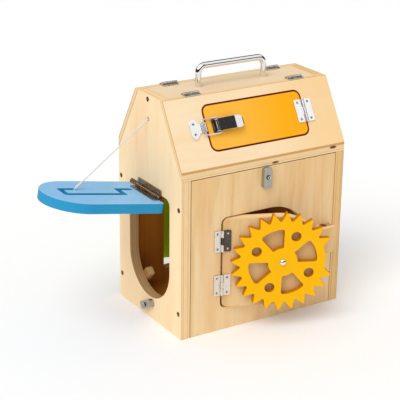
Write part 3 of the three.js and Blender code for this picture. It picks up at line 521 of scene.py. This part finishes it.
# Plated and bare metal: brushed one way, clouded and spotted; the spots are tarnish, and on
# the hinges with near-black shades painted reflections
plateForm = {
    "brushStretch": (0.03, 1, 1),
    "brushed": {"scale": 5200, "detail": 2, "seed": 0},
    "cloud": {"scale": 190, "detail": 4, "seed": 1, "roughness": 0.6},
    "spots": {"scale": 650, "detail": 3, "seed": 2, "roughness": 0.6, "cut": (0.52, 0.66)},
    "tone": {"base": -0.12, "cloud": 0.6, "brushed": 0.25},
    "roughness": {"base": -0.12, "brushed": 0.14, "cloud": 0.14, "spots": 0.2},
    "height": {"base": 0, "brushed": 1, "cloud": 0.4},
    "bump": {"distance": 0.01 * mm, "strength": 0.5},
}


def plated(name, metal):
    colour, shade = metal["tones"]
    form = plateForm
    seed = metal["seed"]
    paint = Paint(name)
    places = boardPlaces(paint, axesOf[metal["axes"]])
    patterns = {
        "brushed": paint.noise(paint.stretched(places, form["brushStretch"]), form["brushed"], seed),
        "cloud": paint.noise(paint.place, form["cloud"], seed),
        "spots": paint.noise(paint.place, form["spots"], seed),
    }
    hue = paint.blend(paint.weighted(patterns, form["tone"]), colour, shade)
    # Spots of the shade: tarnish, and on the roof and side door hinges painted reflections
    hue = paint.blend(patterns["spots"] * metal["tarnishAndReflections"], hue, shade)
    return paint.finish(
        Base_Color=hue,
        Metallic=1.0,
        Roughness=paint.weighted(patterns, form["roughness"]) * metal["uneven"] + metal["rough"],
        Normal=paint.bump(paint.weighted(patterns, form["height"]), form["bump"]),
    )


# Cotton thread
cottonForm = {
    "colour": (0.80, 0.78, 0.73),
    "shade": (0.55, 0.52, 0.47),
    "seed": 31,
    "fuzz": {"scale": 2600, "detail": 4, "seed": 0, "roughness": 0.7},
    "cloud": {"scale": 210, "detail": 2, "seed": 1},
    "tone": {"base": -0.2, "fuzz": 0.6, "cloud": 0.5},
    "roughness": {"base": 0.72, "fuzz": 0.2},
    "sheen": 0.3,
    "bump": {"distance": 0.12 * mm, "strength": 0.8},
}


def woven(name, form):
    paint = Paint(name)
    patterns = {key: paint.noise(paint.place, form[key], form["seed"]) for key in ("fuzz", "cloud")}
    return paint.finish(
        Base_Color=paint.blend(paint.weighted(patterns, form["tone"]), form["colour"], form["shade"]),
        Roughness=paint.weighted(patterns, form["roughness"]),
        Sheen_Weight=form["sheen"],
        Normal=paint.bump(patterns["fuzz"], form["bump"]),
    )


cotton = woven("cotton_thread", cottonForm)

# Corners this close become one. By the angle between them, faces are one flat face up to
# flatAngle, have a rounded edge past arrisAngle and a crisply shaded one past sharpAngle.
weldDistance = 0.0005 * mm
flatAngle = math.radians(0.6)
arrisAngle = math.radians(30)
sharpAngle = math.radians(48)
arrisSegments = 2
# A normal that is this much along a board's thickness belongs to one of its faces
faceOnly = 0.95


def joinFlats(bm, cuts):
    bmesh.ops.remove_doubles(bm, verts=bm.verts[:], dist=weldDistance)
    # A face with holes in it is first cut square across them, so that it stays clean
    for place, normal in cuts:
        everything = [*bm.verts, *bm.edges, *bm.faces]
        halved = bmesh.ops.bisect_plane(bm, geom=everything, plane_co=place, plane_no=normal)
        for part in halved["geom_cut"]:
            if isinstance(part, bmesh.types.BMEdge):
                part.seam = True
    bmesh.ops.dissolve_limit(
        bm,
        angle_limit=flatAngle,
        verts=bm.verts[:],
        edges=bm.edges[:],
        delimit={"SEAM"},
    )


def addPiece(name, bm, finishes, body, nodes, sharp=sharpAngle):
    bmesh.ops.recalc_face_normals(bm, faces=bm.faces[:])
    mesh = bpy.data.meshes.new(name)
    bm.to_mesh(mesh)
    bm.free()
    for finish in finishes:
        mesh.materials.append(finish)
    mesh.shade_smooth()
    mesh.set_sharp_from_angle(angle=sharp)
    piece = bpy.data.objects.new(name, mesh)
    bpy.context.scene.collection.objects.link(piece)
    weighted = piece.modifiers.new("flat_faces", "WEIGHTED_NORMAL")
    weighted.keep_sharp = True
    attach(piece, body)
    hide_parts(*nodes)
    return piece


# A screw's top is a small regular face, and its head is the faces close round it. A cross is
# cut in from an inset copy of the top. Sizes without mm are shares of the top's radius.
screwForm = {
    "least": 0.6 * mm,
    "most": 2.9 * mm,
    "corners": 9,  # at least
    "uneven": 0.04,
    "headReach": 1.5,
    "headSpread": 1.6,
    "headCorners": 16,  # fewer than these
    "headBelow": 3 * mm,
    "headAbove": 0.01 * mm,
    "rimBelow": 1.5 * mm,
    "margin": 0.16,
    "depth": 0.35,
    "lean": 0.6,  # radians
    "woodArm": 0.23,
    "metalArm": 0.17,
}


def screwTops(bm):
    found = []
    for face in bm.faces:
        if len(face.verts) < screwForm["corners"]:
            continue
        centre = face.calc_center_median()
        away = [(v.co - centre).length for v in face.verts]
        radius = sum(away) / len(away)
        regular = max(away) - min(away) < radius * screwForm["uneven"]
        if regular and screwForm["least"] < radius < screwForm["most"]:
            found.append((face, centre, radius))
    return found


def screwHead(bm, top, centre, radius):
    # The faces of one screw's head, each with how far it lies above the top
    normal = top.normal
    found = []
    for face in bm.faces:
        offset = face.calc_center_median() - centre
        level = offset.dot(normal)
        close = (offset - normal * level).length < radius * screwForm["headReach"]
        close = close and -screwForm["headBelow"] < level < screwForm["headAbove"]
        if not close or len(face.verts) >= screwForm["headCorners"]:
            continue
        corners = [v.co - centre for v in face.verts]
        spread = max((c - normal * c.dot(normal)).length for c in corners)
        if spread < radius * screwForm["headSpread"]:
            found.append((face, level))
    return found


def cutCross(bm, face, centre, radius, arm, dark):
    normal = face.normal.copy()
    first = (face.verts[0].co - centre).normalized()
    first = Matrix.Rotation(screwForm["lean"], 3, normal) @ first
    second = normal.cross(first)
    margin = radius * screwForm["margin"]
    bmesh.ops.inset_region(bm, faces=[face], thickness=margin, use_even_offset=True)
    cells = [face]
    for across in (first, second):
        for side in (-1, 1):
            edges = {e for f in cells for e in f.edges}
            corners = {v for f in cells for v in f.verts}
            cut = bmesh.ops.bisect_plane(
                bm,
                geom=[*cells, *edges, *corners],
                plane_co=centre + across * (side * radius * arm),
                plane_no=across,
            )
            cells = [g for g in cut["geom"] if isinstance(g, bmesh.types.BMFace)]
    arms = []
    for cell in cells:
        place = cell.calc_center_median() - centre
        if any(abs(place.dot(across)) < radius * arm for across in (first, second)):
            arms.append(cell)
    lowered = bmesh.ops.extrude_face_region(bm, geom=arms)
    corners = [g for g in lowered["geom"] if isinstance(g, bmesh.types.BMVert)]
    bmesh.ops.translate(bm, verts=corners, vec=normal * (-radius * screwForm["depth"]))
    # The cross's sides and bottom take the dark finish: painted shade in the recess
    for corner in corners:
        for side in corner.link_faces:
            side.material_index = dark
    bmesh.ops.delete(bm, geom=[a for a in arms if a.is_valid], context="FACES")


def roundArrises(bm, width, keep, finish):
    if width <= 0:
        return
    edges = [
        e
        for e in bm.edges
        if len(e.link_faces) == 2
        and e.calc_face_angle() > arrisAngle
        and not any(f in keep for f in e.link_faces)
    ]
    bmesh.ops.bevel(
        bm,
        geom=edges,
        offset=width,
        segments=arrisSegments,
        profile=0.5,
        affect="EDGES",
        clamp_overlap=False,
        material=finish,
    )


def dress(node, finishes, arris, options):
    # A node's copy: flat faces joined, faces and edges finished, arrises rounded, screws cut.
    # Options say which finishes the screws' rims and tops have; the last one is their crosses',
    # for boards and hardware a painted shade.
    options = {
        "through": None,
        "screws": None,
        "arm": screwForm["woodArm"],
        "cuts": (),
        "arrisFinish": -1,
        "sharp": sharpAngle,
        **options,
    }
    bm = bmesh.new()
    bm.from_mesh(frame["nodes"][node].data)
    joinFlats(bm, options["cuts"])
    if options["through"] is not None:
        for face in bm.faces:
            face.material_index = 0 if abs(face.normal.dot(options["through"])) > faceOnly else 1
    screws = options["screws"]
    kept = set()
    for top, centre, radius in screwTops(bm):
        for face, level in screwHead(bm, top, centre, radius):
            kept.add(face)
            if screws and level > -screwForm["rimBelow"]:
                face.material_index = screws["rim"]
    roundArrises(bm, arris, kept, options["arrisFinish"])
    bm.normal_update()
    for top, centre, radius in screwTops(bm):
        if screws:
            top.material_index = screws["top"]
        cutCross(bm, top, centre, radius, options["arm"], len(finishes) - 1)
    name = node + "_dressed"
    return addPiece(name, bm, finishes, bodyOf[node], [node], options["sharp"])


# The string comes first: its route is the one of the CAD part
stringForm = {
    "route": [
        Vector((-103.1, 1.6, 264.2)) * mm,
        Vector((-120, 1.6, 264.2)) * mm,
        Vector((-205.76, 10.69, 195.99)) * mm,
    ],
    "bend": 3 * mm,
    "radius": 0.8 * mm,
    "sides": 18,
    "strands": 3,
    "groove": 0.2,
    "twist": 4.2 * mm,
    "step": 0.45 * mm,
}
cornerSteps = 8


def routed(points, bend, step):
    # A line through the points, rounded at its corners and cut into even steps
    line = [points[0]]
    for i in range(1, len(points) - 1):
        corner = points[i]
        back = corner + (points[i - 1] - corner).normalized() * bend
        on = corner + (points[i + 1] - corner).normalized() * bend
        line.append(back)
        for k in range(1, cornerSteps + 1):
            t = k / cornerSteps
            line.append(back * (1 - t) ** 2 + corner * (2 * t * (1 - t)) + on * t**2)
    line.append(points[-1])
    even = [line[0]]
    for start, end in zip(line, line[1:]):
        count = max(1, round((end - start).length / step))
        even += [start.lerp(end, k / count) for k in range(1, count + 1)]
    return even


def sweep(line, radius, sides, shape):
    # A closed tube along a line; shape gives its radius by the angle and the run, as a share
    bm = bmesh.new()
    side = (line[1] - line[0]).orthogonal().normalized()
    run = 0.0
    rings = []
    for i, point in enumerate(line):
        ahead = (line[min(i + 1, len(line) - 1)] - line[max(i - 1, 0)]).normalized()
        side = (side - ahead * side.dot(ahead)).normalized()
        other = ahead.cross(side)
        ring = []
        for k in range(sides):
            angle = 2 * math.pi * k / sides
            outward = side * math.cos(angle) + other * math.sin(angle)
            ring.append(bm.verts.new(point + outward * (radius * shape(angle, run))))
        rings.append(ring)
        if i + 1 < len(line):
            run += (line[i + 1] - point).length
    for near, far in zip(rings, rings[1:]):
        for k in range(sides):
            bm.faces.new((near[k], near[(k + 1) % sides], far[(k + 1) % sides], far[k]))
    bm.faces.new(rings[0][::-1])
    bm.faces.new(rings[-1])
    return bm


def ropeShape(angle, run):
    turn = stringForm["strands"] * (angle - 2 * math.pi * run / stringForm["twist"])
    return 1 - stringForm["groove"] * (0.5 - 0.5 * math.cos(turn))


stringLine = routed(stringForm["route"], stringForm["bend"], stringForm["step"])
stringMesh = sweep(stringLine, stringForm["radius"], stringForm["sides"], ropeShape)
string = addPiece("string_thread", stringMesh, [cotton], "house", ["string"])

# An overhand knot just inside the gable: the string's end goes twice round in three lobes
knotForm = {
    "centre": stringForm["route"][0],
    "reach": 1.612 * mm,
    "turns": 2,
    "steps": 60,
    "lobesPerTurn": 1.5,
    "swell": 0.42,
    "depth": 0.55,
    "radius": 0.84 * mm,
    "sides": 14,
}


def addKnot(values):
    line = []
    for k in range(values["steps"] + 1):
        angle = 2 * math.pi * values["turns"] * k / values["steps"]
        lobe = values["lobesPerTurn"] * angle
        swell = 1 + values["swell"] * math.cos(lobe)
        loop = Vector((values["depth"] * math.sin(lobe), swell * math.cos(angle), swell * math.sin(angle)))
        line.append(values["centre"] + loop * values["reach"])
    bm = sweep(line, values["radius"], values["sides"], ropeShape)
    return addPiece("string_knot", bm, [cotton], "house", [])


knot = addKnot(knotForm)

# The whipped sleeve above the slot, the string's neck through it, and the bead below the door
beadForm = {
    "slotPoint": Vector((-216.29, 11.8, 187.61)) * mm,
    "rise": 2.2 * mm,
    "sleeve": 11 * mm,
    "sleeveRadius": 1.75 * mm,
    "sleeveSteps": 45,
    "sleeveSides": 24,
    "turns": 9,
    "waist": 0.86,
    "endRise": 6,
    "neckBend": 1.2 * mm,
    "neckStep": 0.5 * mm,
    "neckSides": 14,
    "doorThickness": 12.6 * mm,
    "gap": 0.3 * mm,
    "bead": 5.5 * mm,
    "beadFit": 0.995,
    "beadSegments": (36, 20),
}


def addBead(values):
    exitPoint, end = stringForm["route"][1:]
    away = (exitPoint - end).normalized()
    slotPoint = values["slotPoint"]
    start = slotPoint + away * values["rise"]
    count = values["sleeveSteps"]
    line = [start + away * (values["sleeve"] * k / count) for k in range(count + 1)]

    def whipping(angle, run):
        share = run / values["sleeve"]
        ridge = abs(math.sin(math.pi * share * values["turns"]))
        ends = max(0.0, min(1.0, values["endRise"] * share, values["endRise"] * (1 - share)))
        return values["waist"] + (1 - values["waist"]) * ridge * ends

    bm = sweep(line, values["sleeveRadius"], values["sleeveSides"], whipping)
    down = axesOf["sideDoor"]["through"] * -1
    beadPlace = slotPoint + down * (values["doorThickness"] + values["bead"] + values["gap"])
    neckLine = routed([line[-1], slotPoint, beadPlace], values["neckBend"], values["neckStep"])
    neck = sweep(neckLine, stringForm["radius"], values["neckSides"], ropeShape)
    stem = bpy.data.meshes.new("bead_stem")
    neck.to_mesh(stem)
    neck.free()
    bm.from_mesh(stem)
    bpy.data.meshes.remove(stem)
    lean = down.to_track_quat("Z", "Y").to_matrix().to_4x4()
    bmesh.ops.create_uvsphere(
        bm,
        u_segments=values["beadSegments"][0],
        v_segments=values["beadSegments"][1],
        radius=values["bead"] * values["beadFit"],
        matrix=Matrix.Translation(beadPlace) @ lean,
    )
    return addPiece("string_bead_dressed", bm, [cotton], "side_door", ["string_bead"])


bead = addBead(beadForm)
print("string done")

# Every metal: its colour and the shade of its clouds and spots, the axes it is brushed along,
# how rough and uneven it is, and how strongly its spots show tarnish and painted reflections.
# Nickel's colour differs with what each piece mirrors: painted reflection.
plainMetal = {"axes": "wall", "tarnishAndReflections": 0.35, "uneven": 1.0}
metals = {
    "nickel_plate": {
        "tones": ((0.96, 0.96, 0.95), (0.84, 0.83, 0.81)),
        "rough": 0.13,
        "seed": 41,
        "tarnishAndReflections": 0.15,
        "uneven": 0.4,
    },
    "nickel_warm": {
        "tones": ((0.80, 0.75, 0.67), (0.62, 0.56, 0.48)),
        "rough": 0.22,
        "seed": 44,
        "tarnishAndReflections": 0.3,
    },
    # The roof hinges: near-black spots at a high share are painted reflections
    "nickel_level": {
        "tones": ((0.92, 0.88, 0.80), (0.10, 0.075, 0.055)),
        "axes": "level",
        "rough": 0.3,
        "seed": 43,
        "tarnishAndReflections": 0.9,
    },
    # The front door's upper leaf and the latch's base: dark all over as a painted reflection
    "nickel_painted_dark_reflection": {
        "tones": ((0.13, 0.11, 0.09), (0.02, 0.016, 0.012)),
        "axes": "frontDoor",
        "rough": 0.16,
        "seed": 42,
        "tarnishAndReflections": 0.6,
    },
    # Near-black spots at a high share are painted reflections on this bronze-brown plate
    "dark_nickel": {
        "tones": ((0.55, 0.40, 0.27), (0.07, 0.04, 0.025)),
        "rough": 0.13,
        "seed": 45,
        "tarnishAndReflections": 0.9,
    },
    "button_zinc": {
        "tones": ((0.50, 0.50, 0.45), (0.38, 0.37, 0.33)),
        "rough": 0.42,
        "seed": 47,
    },
    "chrome_plate": {
        "tones": ((0.84, 0.83, 0.82), (0.76, 0.75, 0.74)),
        "axes": "level",
        "rough": 0.045,
        "seed": 49,
        "tarnishAndReflections": 0.1,
        "uneven": 0.25,
    },
    "screw_nickel": {
        "tones": ((0.88, 0.87, 0.84), (0.60, 0.57, 0.52)),
        "axes": "gable",
        "rough": 0.2,
        "seed": 50,
        "tarnishAndReflections": 0.3,
    },
    "screw_zinc": {
        "tones": ((0.42, 0.29, 0.17), (0.20, 0.12, 0.06)),
        "axes": "gable",
        "rough": 0.34,
        "seed": 51,
        "tarnishAndReflections": 0.5,
    },
    # Dark in the screws' crosses: painted shade of the recess
    "screw_recess_painted_shade": {
        "tones": ((0.07, 0.04, 0.025), (0.03, 0.018, 0.01)),
        "axes": "gable",
        "rough": 0.6,
        "seed": 53,
    },
}
metalOf = {name: plated(name, {**plainMetal, **metal}) for name, metal in metals.items()}

# Every board: its axes and the side of them that it faces, its wood, its seed, the strength of
# its figure, the width of its rounded arris and of a glued joint along its sides, its edges,
# their knots by centre and radii (on the catch a dark spot of painted shade), a drift to a
# warmer tone along it by start, end and share, and a sawn rim of another tone by where it
# lies and how softly it begins, painted shade on rims in shadow
plainBoard = {
    "side": 1,
    "figure": 1,
    "joint": 0,
    "edges": paleEdges,
    "knots": (),
    "drift": None,
    "rim": None,
}
boards = {
    "left_gable": {
        "axes": "gable",
        "side": -1,
        "wood": "pale",
        "seed": 1,
        "arris": 0.7 * mm,
        # The rim inside the side opening is darkened: painted shade
        "rim": {
            "along": (-10 * mm, 185 * mm),
            "across": (-60 * mm, 60 * mm),
            "fade": 4 * mm,
            "share": 0.6,
            "tone": (0.42, 0.20, 0.05),
        },
    },
    "right_gable": {
        "axes": "gable",
        "wood": "pale",
        "seed": 2,
        "figure": 0.7,
        "arris": 0.7 * mm,
        "edges": brownEdges,
    },
    "front_wall": {
        "axes": "wall",
        "side": -1,
        "wood": "golden",
        "seed": 3,
        "figure": 1.35,
        "arris": 0.4 * mm,
        "joint": 1.1 * mm,
        "drift": (120 * mm, 210 * mm, 0.4),
    },
    "back_wall": {
        "axes": "wall",
        "wood": "golden",
        "seed": 4,
        "figure": 1.35,
        "arris": 0.4 * mm,
        "joint": 1.1 * mm,
        # The rim inside the back door's opening is darkened: painted shade
        "rim": {
            "along": (20 * mm, 200 * mm),
            "across": (-90 * mm, 90 * mm),
            "fade": 4 * mm,
            "share": 0.6,
            "tone": (0.40, 0.19, 0.05),
        },
    },
    "floor_panel": {"axes": "level", "side": -1, "wood": "golden", "seed": 5, "arris": 0.4 * mm},
    "top_board": {"axes": "level", "wood": "level", "seed": 6, "figure": 0.4, "arris": 0.4 * mm},
    "roof_front": {
        "axes": "slope",
        "wood": "roof",
        "seed": 7,
        "figure": 0.8,
        "arris": 0.5 * mm,
        "edges": roofEdges,
        "knots": (
            (Vector((14, -78.6, 209.8)) * mm, (5 * mm, 3 * mm, 1.4 * mm)),
            (Vector((102, -78.6, 214.6)) * mm, (5 * mm, 3 * mm, 1.8 * mm)),
        ),
        "drift": (-20 * mm, 110 * mm, 0.8),
        # The rim round the window is dark red-brown: partly red paint, partly painted shade of the gap
        "rim": {
            "along": (-80 * mm, 80 * mm),
            "across": (163 * mm, 228 * mm),
            "fade": 1 * mm,
            "share": 1.0,
            "tone": (0.40, 0.075, 0.012),
        },
    },
    "roof_back": {
        "axes": "backSlope",
        "wood": "roof",
        "seed": 8,
        "figure": 0.8,
        "arris": 0.5 * mm,
        "edges": roofEdges,
    },
    "front_door": {
        "axes": "frontDoor",
        "side": -1,
        "wood": "door",
        "seed": 9,
        "figure": 1.3,
        "arris": 0.7 * mm,
    },
    "catch_spacer": {
        "axes": "wall",
        "side": -1,
        "wood": "door",
        "seed": 10,
        "arris": 0.3 * mm,
        # Its brown edges are partly painted shade. The dark spot at the left of its top is painted shade of
        # the gap behind the lip, and its rim darkens the top towards the right as painted shade
        "edges": brownEdges,
        "knots": ((Vector((88, -84, 113)) * mm, (4.5 * mm, 5 * mm, 2.5 * mm)),),
        "rim": {
            "along": (111 * mm, 115 * mm),
            "across": (87 * mm, 108 * mm),
            "fade": 1 * mm,
            "share": 0.65,
            "tone": (0.34, 0.20, 0.10),
        },
    },
    "catch_lip": {"axes": "wall", "side": -1, "wood": "door", "seed": 11, "arris": 0.4 * mm},
    "side_door_stop": {
        "axes": "gable",
        "wood": "brown",
        "seed": 12,
        "arris": 0.5 * mm,
        "edges": brownEdges,
    },
}


def measured(node, values):
    # A board with its axes, its outer face, its thickness and its two sides from the frame
    axes = axesOf[values["axes"]]
    out = axes["through"] * values["side"]
    corners = [v.co for v in frame["nodes"][node].data.vertices]
    reach = [c.dot(out) for c in corners]
    sides = [c.dot(axes["across"]) for c in corners]
    places = {"out": out, "face": max(reach), "thickness": max(reach) - min(reach)}
    return {**values, **axes, **places, "sides": (min(sides), max(sides))}


for node, values in boards.items():
    board = measured(node, {**plainBoard, **values})
    finishes = [
        veneer(node + "_veneer", board),
        plyEdge(node + "_edge", board),
        metalOf["screw_zinc"],
        metalOf["screw_recess_painted_shade"],
    ]
    options = {"through": board["through"], "screws": {"rim": 2, "top": 2}}
    dress(node, finishes, board["arris"], options)
print("boards done")

# Painted pieces: paint and its shade on the faces and on the sawn edges. The window's orange
# is deeper towards its hinge and paler away from it as a painted sheen, and its rounded arrises
# have the edges' dark red paint, partly painted shade of the gap round it. The wheel's darker
# edge paint is painted shade on its sides.
edgeRougher = 0.08
edgeSeedStep = 0.5
paints = {
    "window_panel": {
        "axes": "slope",
        "face": ((0.96, 0.50, 0.06), (0.93, 0.44, 0.045)),
        # Dark red edges and arrises, partly painted shade of the gap round the window
        "edge": ((0.52, 0.10, 0.008), (0.40, 0.07, 0.006)),
        "seed": 60,
        "rough": 0.32,
        "wear": 0.1,
        # Paler away from the hinge: a painted sheen
        "fade": (-40 * mm, 50 * mm, (0.95, 0.40, 0.002)),
        "arris": 0.6 * mm,
        "options": {"arrisFinish": 1},
    },
    "side_door": {
        "axes": "sideDoor",
        "face": ((0.31, 0.58, 0.87), (0.22, 0.49, 0.81)),
        "edge": ((0.04, 0.33, 0.58), (0.008, 0.24, 0.48)),
        "seed": 61,
        "rough": 0.45,
        "wear": 0.5,
        "arris": 0.8 * mm,
    },
    "back_door": {
        "axes": "backDoor",
        "face": ((0.40, 0.68, 0.008), (0.33, 0.60, 0.006)),
        "edge": ((0.36, 0.62, 0.01), (0.29, 0.53, 0.008)),
        "seed": 62,
        "rough": 0.45,
        "wear": 0.1,
        "arris": 0.8 * mm,
    },
    "wheel": {
        "axes": "frontDoor",
        "face": ((0.93, 0.48, 0.002), (0.90, 0.44, 0.001)),
        # Edges darker than the face: painted shade on the wheel's sides
        "edge": ((0.62, 0.25, 0.003), (0.44, 0.13, 0.002)),
        "seed": 63,
        "rough": 0.45,
        "wear": 0.1,
        "arris": 0.6 * mm,
    },
}

# The wheel's faces are cut through its arms, its holes and its windows
wheelForm = {"centre": Vector((7.04, -108.8, 91.7)) * mm, "phase": math.radians(20.5), "cuts": 4}


def cutsAcross(values, axes):
    cuts = []
    for k in range(values["cuts"]):
        angle = values["phase"] + math.pi * k / values["cuts"]
        facing = axes["along"] * math.cos(angle) - axes["across"] * math.sin(angle)
        cuts.append((values["centre"], facing))
    return cuts


paints["wheel"]["options"] = {"cuts": cutsAcross(wheelForm, axesOf["frontDoor"])}
for node, values in paints.items():
    axes = axesOf[values["axes"]]
    seed, rough, wear = values["seed"], values["rough"], values["wear"]
    edgeSeed = seed + edgeSeedStep
    finishes = [
        painted(node + "_paint", axes, values["face"], seed, rough, wear, values.get("fade")),
        painted(node + "_edge_paint", axes, values["edge"], edgeSeed, rough + edgeRougher, wear),
    ]
    options = {"through": axes["through"], **values.get("options", {})}
    dress(node, finishes, values["arris"], options)
print("painted pieces done")

# Hardware by slot: its metal and the width of its arrises
hardware = {
    "nickel": ("nickel_plate", 0.15 * mm),
    "dark_nickel": ("dark_nickel", 0.14 * mm),
    "button_metal": ("button_zinc", 0.5 * mm),
    "chrome": ("chrome_plate", 0.2 * mm),
}
# Pieces of another metal, by how their nodes' names begin
otherMetals = {
    "front_door_lower": "nickel_warm",
    "front_door_upper_wall": "nickel_warm",
    # The front door's upper leaf and the latch's base are dark as a painted reflection
    "front_door_upper_door": "nickel_painted_dark_reflection",
    "latch_base": "nickel_painted_dark_reflection",
    "wheel_bolt": "chrome_plate",
    "front_left_hinge": "nickel_level",
    "front_right_hinge": "nickel_level",
    "back_left_hinge": "nickel_level",
    "back_right_hinge": "nickel_level",
}
otherArrises = {"latch_bail": 0, "latch_lever": 0.1 * mm}
# The lever is bent across by less than ten degrees, and its bend is crisp
otherSharps = {"latch_lever": math.radians(5)}

for node, slot in slotOf.items():
    if slot not in hardware or node == "carry_handle":
        continue
    metal, arris = hardware[slot]
    for start, other in otherMetals.items():
        if node.startswith(start):
            metal = other
    finishes = [metalOf[metal], metalOf["screw_nickel"], metalOf["screw_recess_painted_shade"]]
    options = {
        "screws": {"rim": 2, "top": 1},
        "arm": screwForm["metalArm"],
        "sharp": otherSharps.get(node, sharpAngle),
    }
    dress(node, finishes, otherArrises.get(node, arris), options)

handleForm = {
    "left": -50.5 * mm,
    "right": 45.5 * mm,
    "rise": 26 * mm,
    "bend": 9 * mm,
    "radius": 3.995 * mm,
    "sides": 32,
    "bendSteps": 10,
}


def addHandle(values):
    # A ring at the left foot is drawn up, round the bend, along, and down the other side
    bm = bmesh.new()
    foot = Vector((values["left"], 0, house["height"]))
    bmesh.ops.create_circle(
        bm,
        cap_ends=False,
        radius=values["radius"],
        segments=values["sides"],
        matrix=Matrix.Translation(foot),
    )
    ring = bm.edges[:]
    rise = values["rise"] - values["bend"]
    span = values["right"] - values["left"] - 2 * values["bend"]
    centre = foot + Vector((values["bend"], 0, rise))
    for step in ("up", "turn", "along", "turn", "down"):
        if step == "turn":
            verts = list({v for e in ring for v in e.verts})
            made = bmesh.ops.spin(
                bm,
                geom=[*verts, *ring],
                cent=centre,
                axis=throughHouse,
                angle=math.pi / 2,
                steps=values["bendSteps"],
            )
            ring = [g for g in made["geom_last"] if isinstance(g, bmesh.types.BMEdge)]
            centre = centre + acrossHouse * span
            continue
        run = {"up": upward * rise, "along": acrossHouse * span, "down": upward * -rise}[step]
        made = bmesh.ops.extrude_edge_only(bm, edges=ring)
        verts = {g for g in made["geom"] if isinstance(g, bmesh.types.BMVert)}
        bmesh.ops.translate(bm, verts=list(verts), vec=run)
        edges = [g for g in made["geom"] if isinstance(g, bmesh.types.BMEdge)]
        ring = [e for e in edges if all(v in verts for v in e.verts)]
    bmesh.ops.holes_fill(bm, edges=[e for e in bm.edges if len(e.link_faces) == 1])
    finishes = [metalOf["chrome_plate"]]
    return addPiece("carry_handle_dressed", bm, finishes, "house", ["carry_handle"])


addHandle(handleForm)
print("hardware done")

# The studio: a floor of white paper
stageForm = {
    "size": 14,
    "tones": ((0.96, 0.96, 0.96), (0.95, 0.95, 0.95)),
    "cloud": {"scale": 3, "detail": 2, "seed": 90},
    "roughness": 0.9,
}


def addStage(values):
    bpy.ops.mesh.primitive_plane_add(size=values["size"])
    floor = bpy.context.object
    floor.name = "studio_floor"
    paint = Paint("floor_paper")
    colour = paint.blend(paint.noise(paint.place, values["cloud"], 0), *values["tones"])
    floor.data.materials.append(paint.finish(Base_Color=colour, Roughness=values["roughness"]))


# Its surroundings: how much they light, and what polished metal sees of them, which is white
# paper above, a dark band all round the horizon, a dark wall at the back and a doorway. An
# edge is where darkness begins and where it is full, as the cosine of the angle to its middle.
skyForm = {
    "light": 0.68,
    "paper": 1.0,
    "dark": 0.04,
    "horizon": (0.45, 0.36),
    "doorway": Vector((0.284, -0.78, 0.57)).normalized(),
    "doorwayEdge": (math.cos(math.radians(11)), math.cos(math.radians(8.5))),
    "backWall": Vector((0.45, 0.76, 0.47)).normalized(),
    "backWallEdge": (math.cos(math.radians(34)), math.cos(math.radians(29))),
}


def addWorld(values):
    world = bpy.data.worlds.new("studio_world")
    bpy.context.scene.world = world
    world.use_nodes = True
    world.cycles.sampling_method = "NONE"
    sky = Shading(world.node_tree, "Generated")
    camera = sky.node("ShaderNodeLightPath", {}, {}, "Is Camera Ray")
    glossy = sky.node("ShaderNodeLightPath", {}, {}, "Is Glossy Ray")
    horizon = sky.ramp(sky.dot(upward), *values["horizon"])
    doorway = sky.ramp(sky.dot(values["doorway"]), *values["doorwayEdge"])
    backWall = sky.ramp(sky.dot(values["backWall"]), *values["backWallEdge"])
    darkness = horizon.maths("MAXIMUM", doorway).maths("MAXIMUM", backWall)
    mirrored = values["paper"] - darkness * (values["paper"] - values["dark"])
    strength = camera * values["paper"] + glossy * mirrored
    strength = strength + (1 - camera - glossy) * values["light"]
    background = sky.node("ShaderNodeBackground", {}, {"Color": (1, 1, 1, 1), "Strength": strength})
    output = world.node_tree.nodes.new("ShaderNodeOutputWorld")
    world.node_tree.links.new(background.socket, output.inputs["Surface"])


# One wide soft light, high on the left
sunForm = {"from": Vector((-0.55, -0.3, 0.78)), "spread": math.radians(40), "strength": 1.55}


def addSun(values):
    data = bpy.data.lights.new("studio_sun", "SUN")
    data.angle = values["spread"]
    data.energy = values["strength"]
    sun = bpy.data.objects.new("studio_sun", data)
    sun.rotation_mode = "QUATERNION"
    sun.rotation_quaternion = values["from"].to_track_quat("Z", "Y")
    bpy.context.scene.collection.objects.link(sun)


addStage(stageForm)
addWorld(skyForm)
addSun(sunForm)
print("studio done")
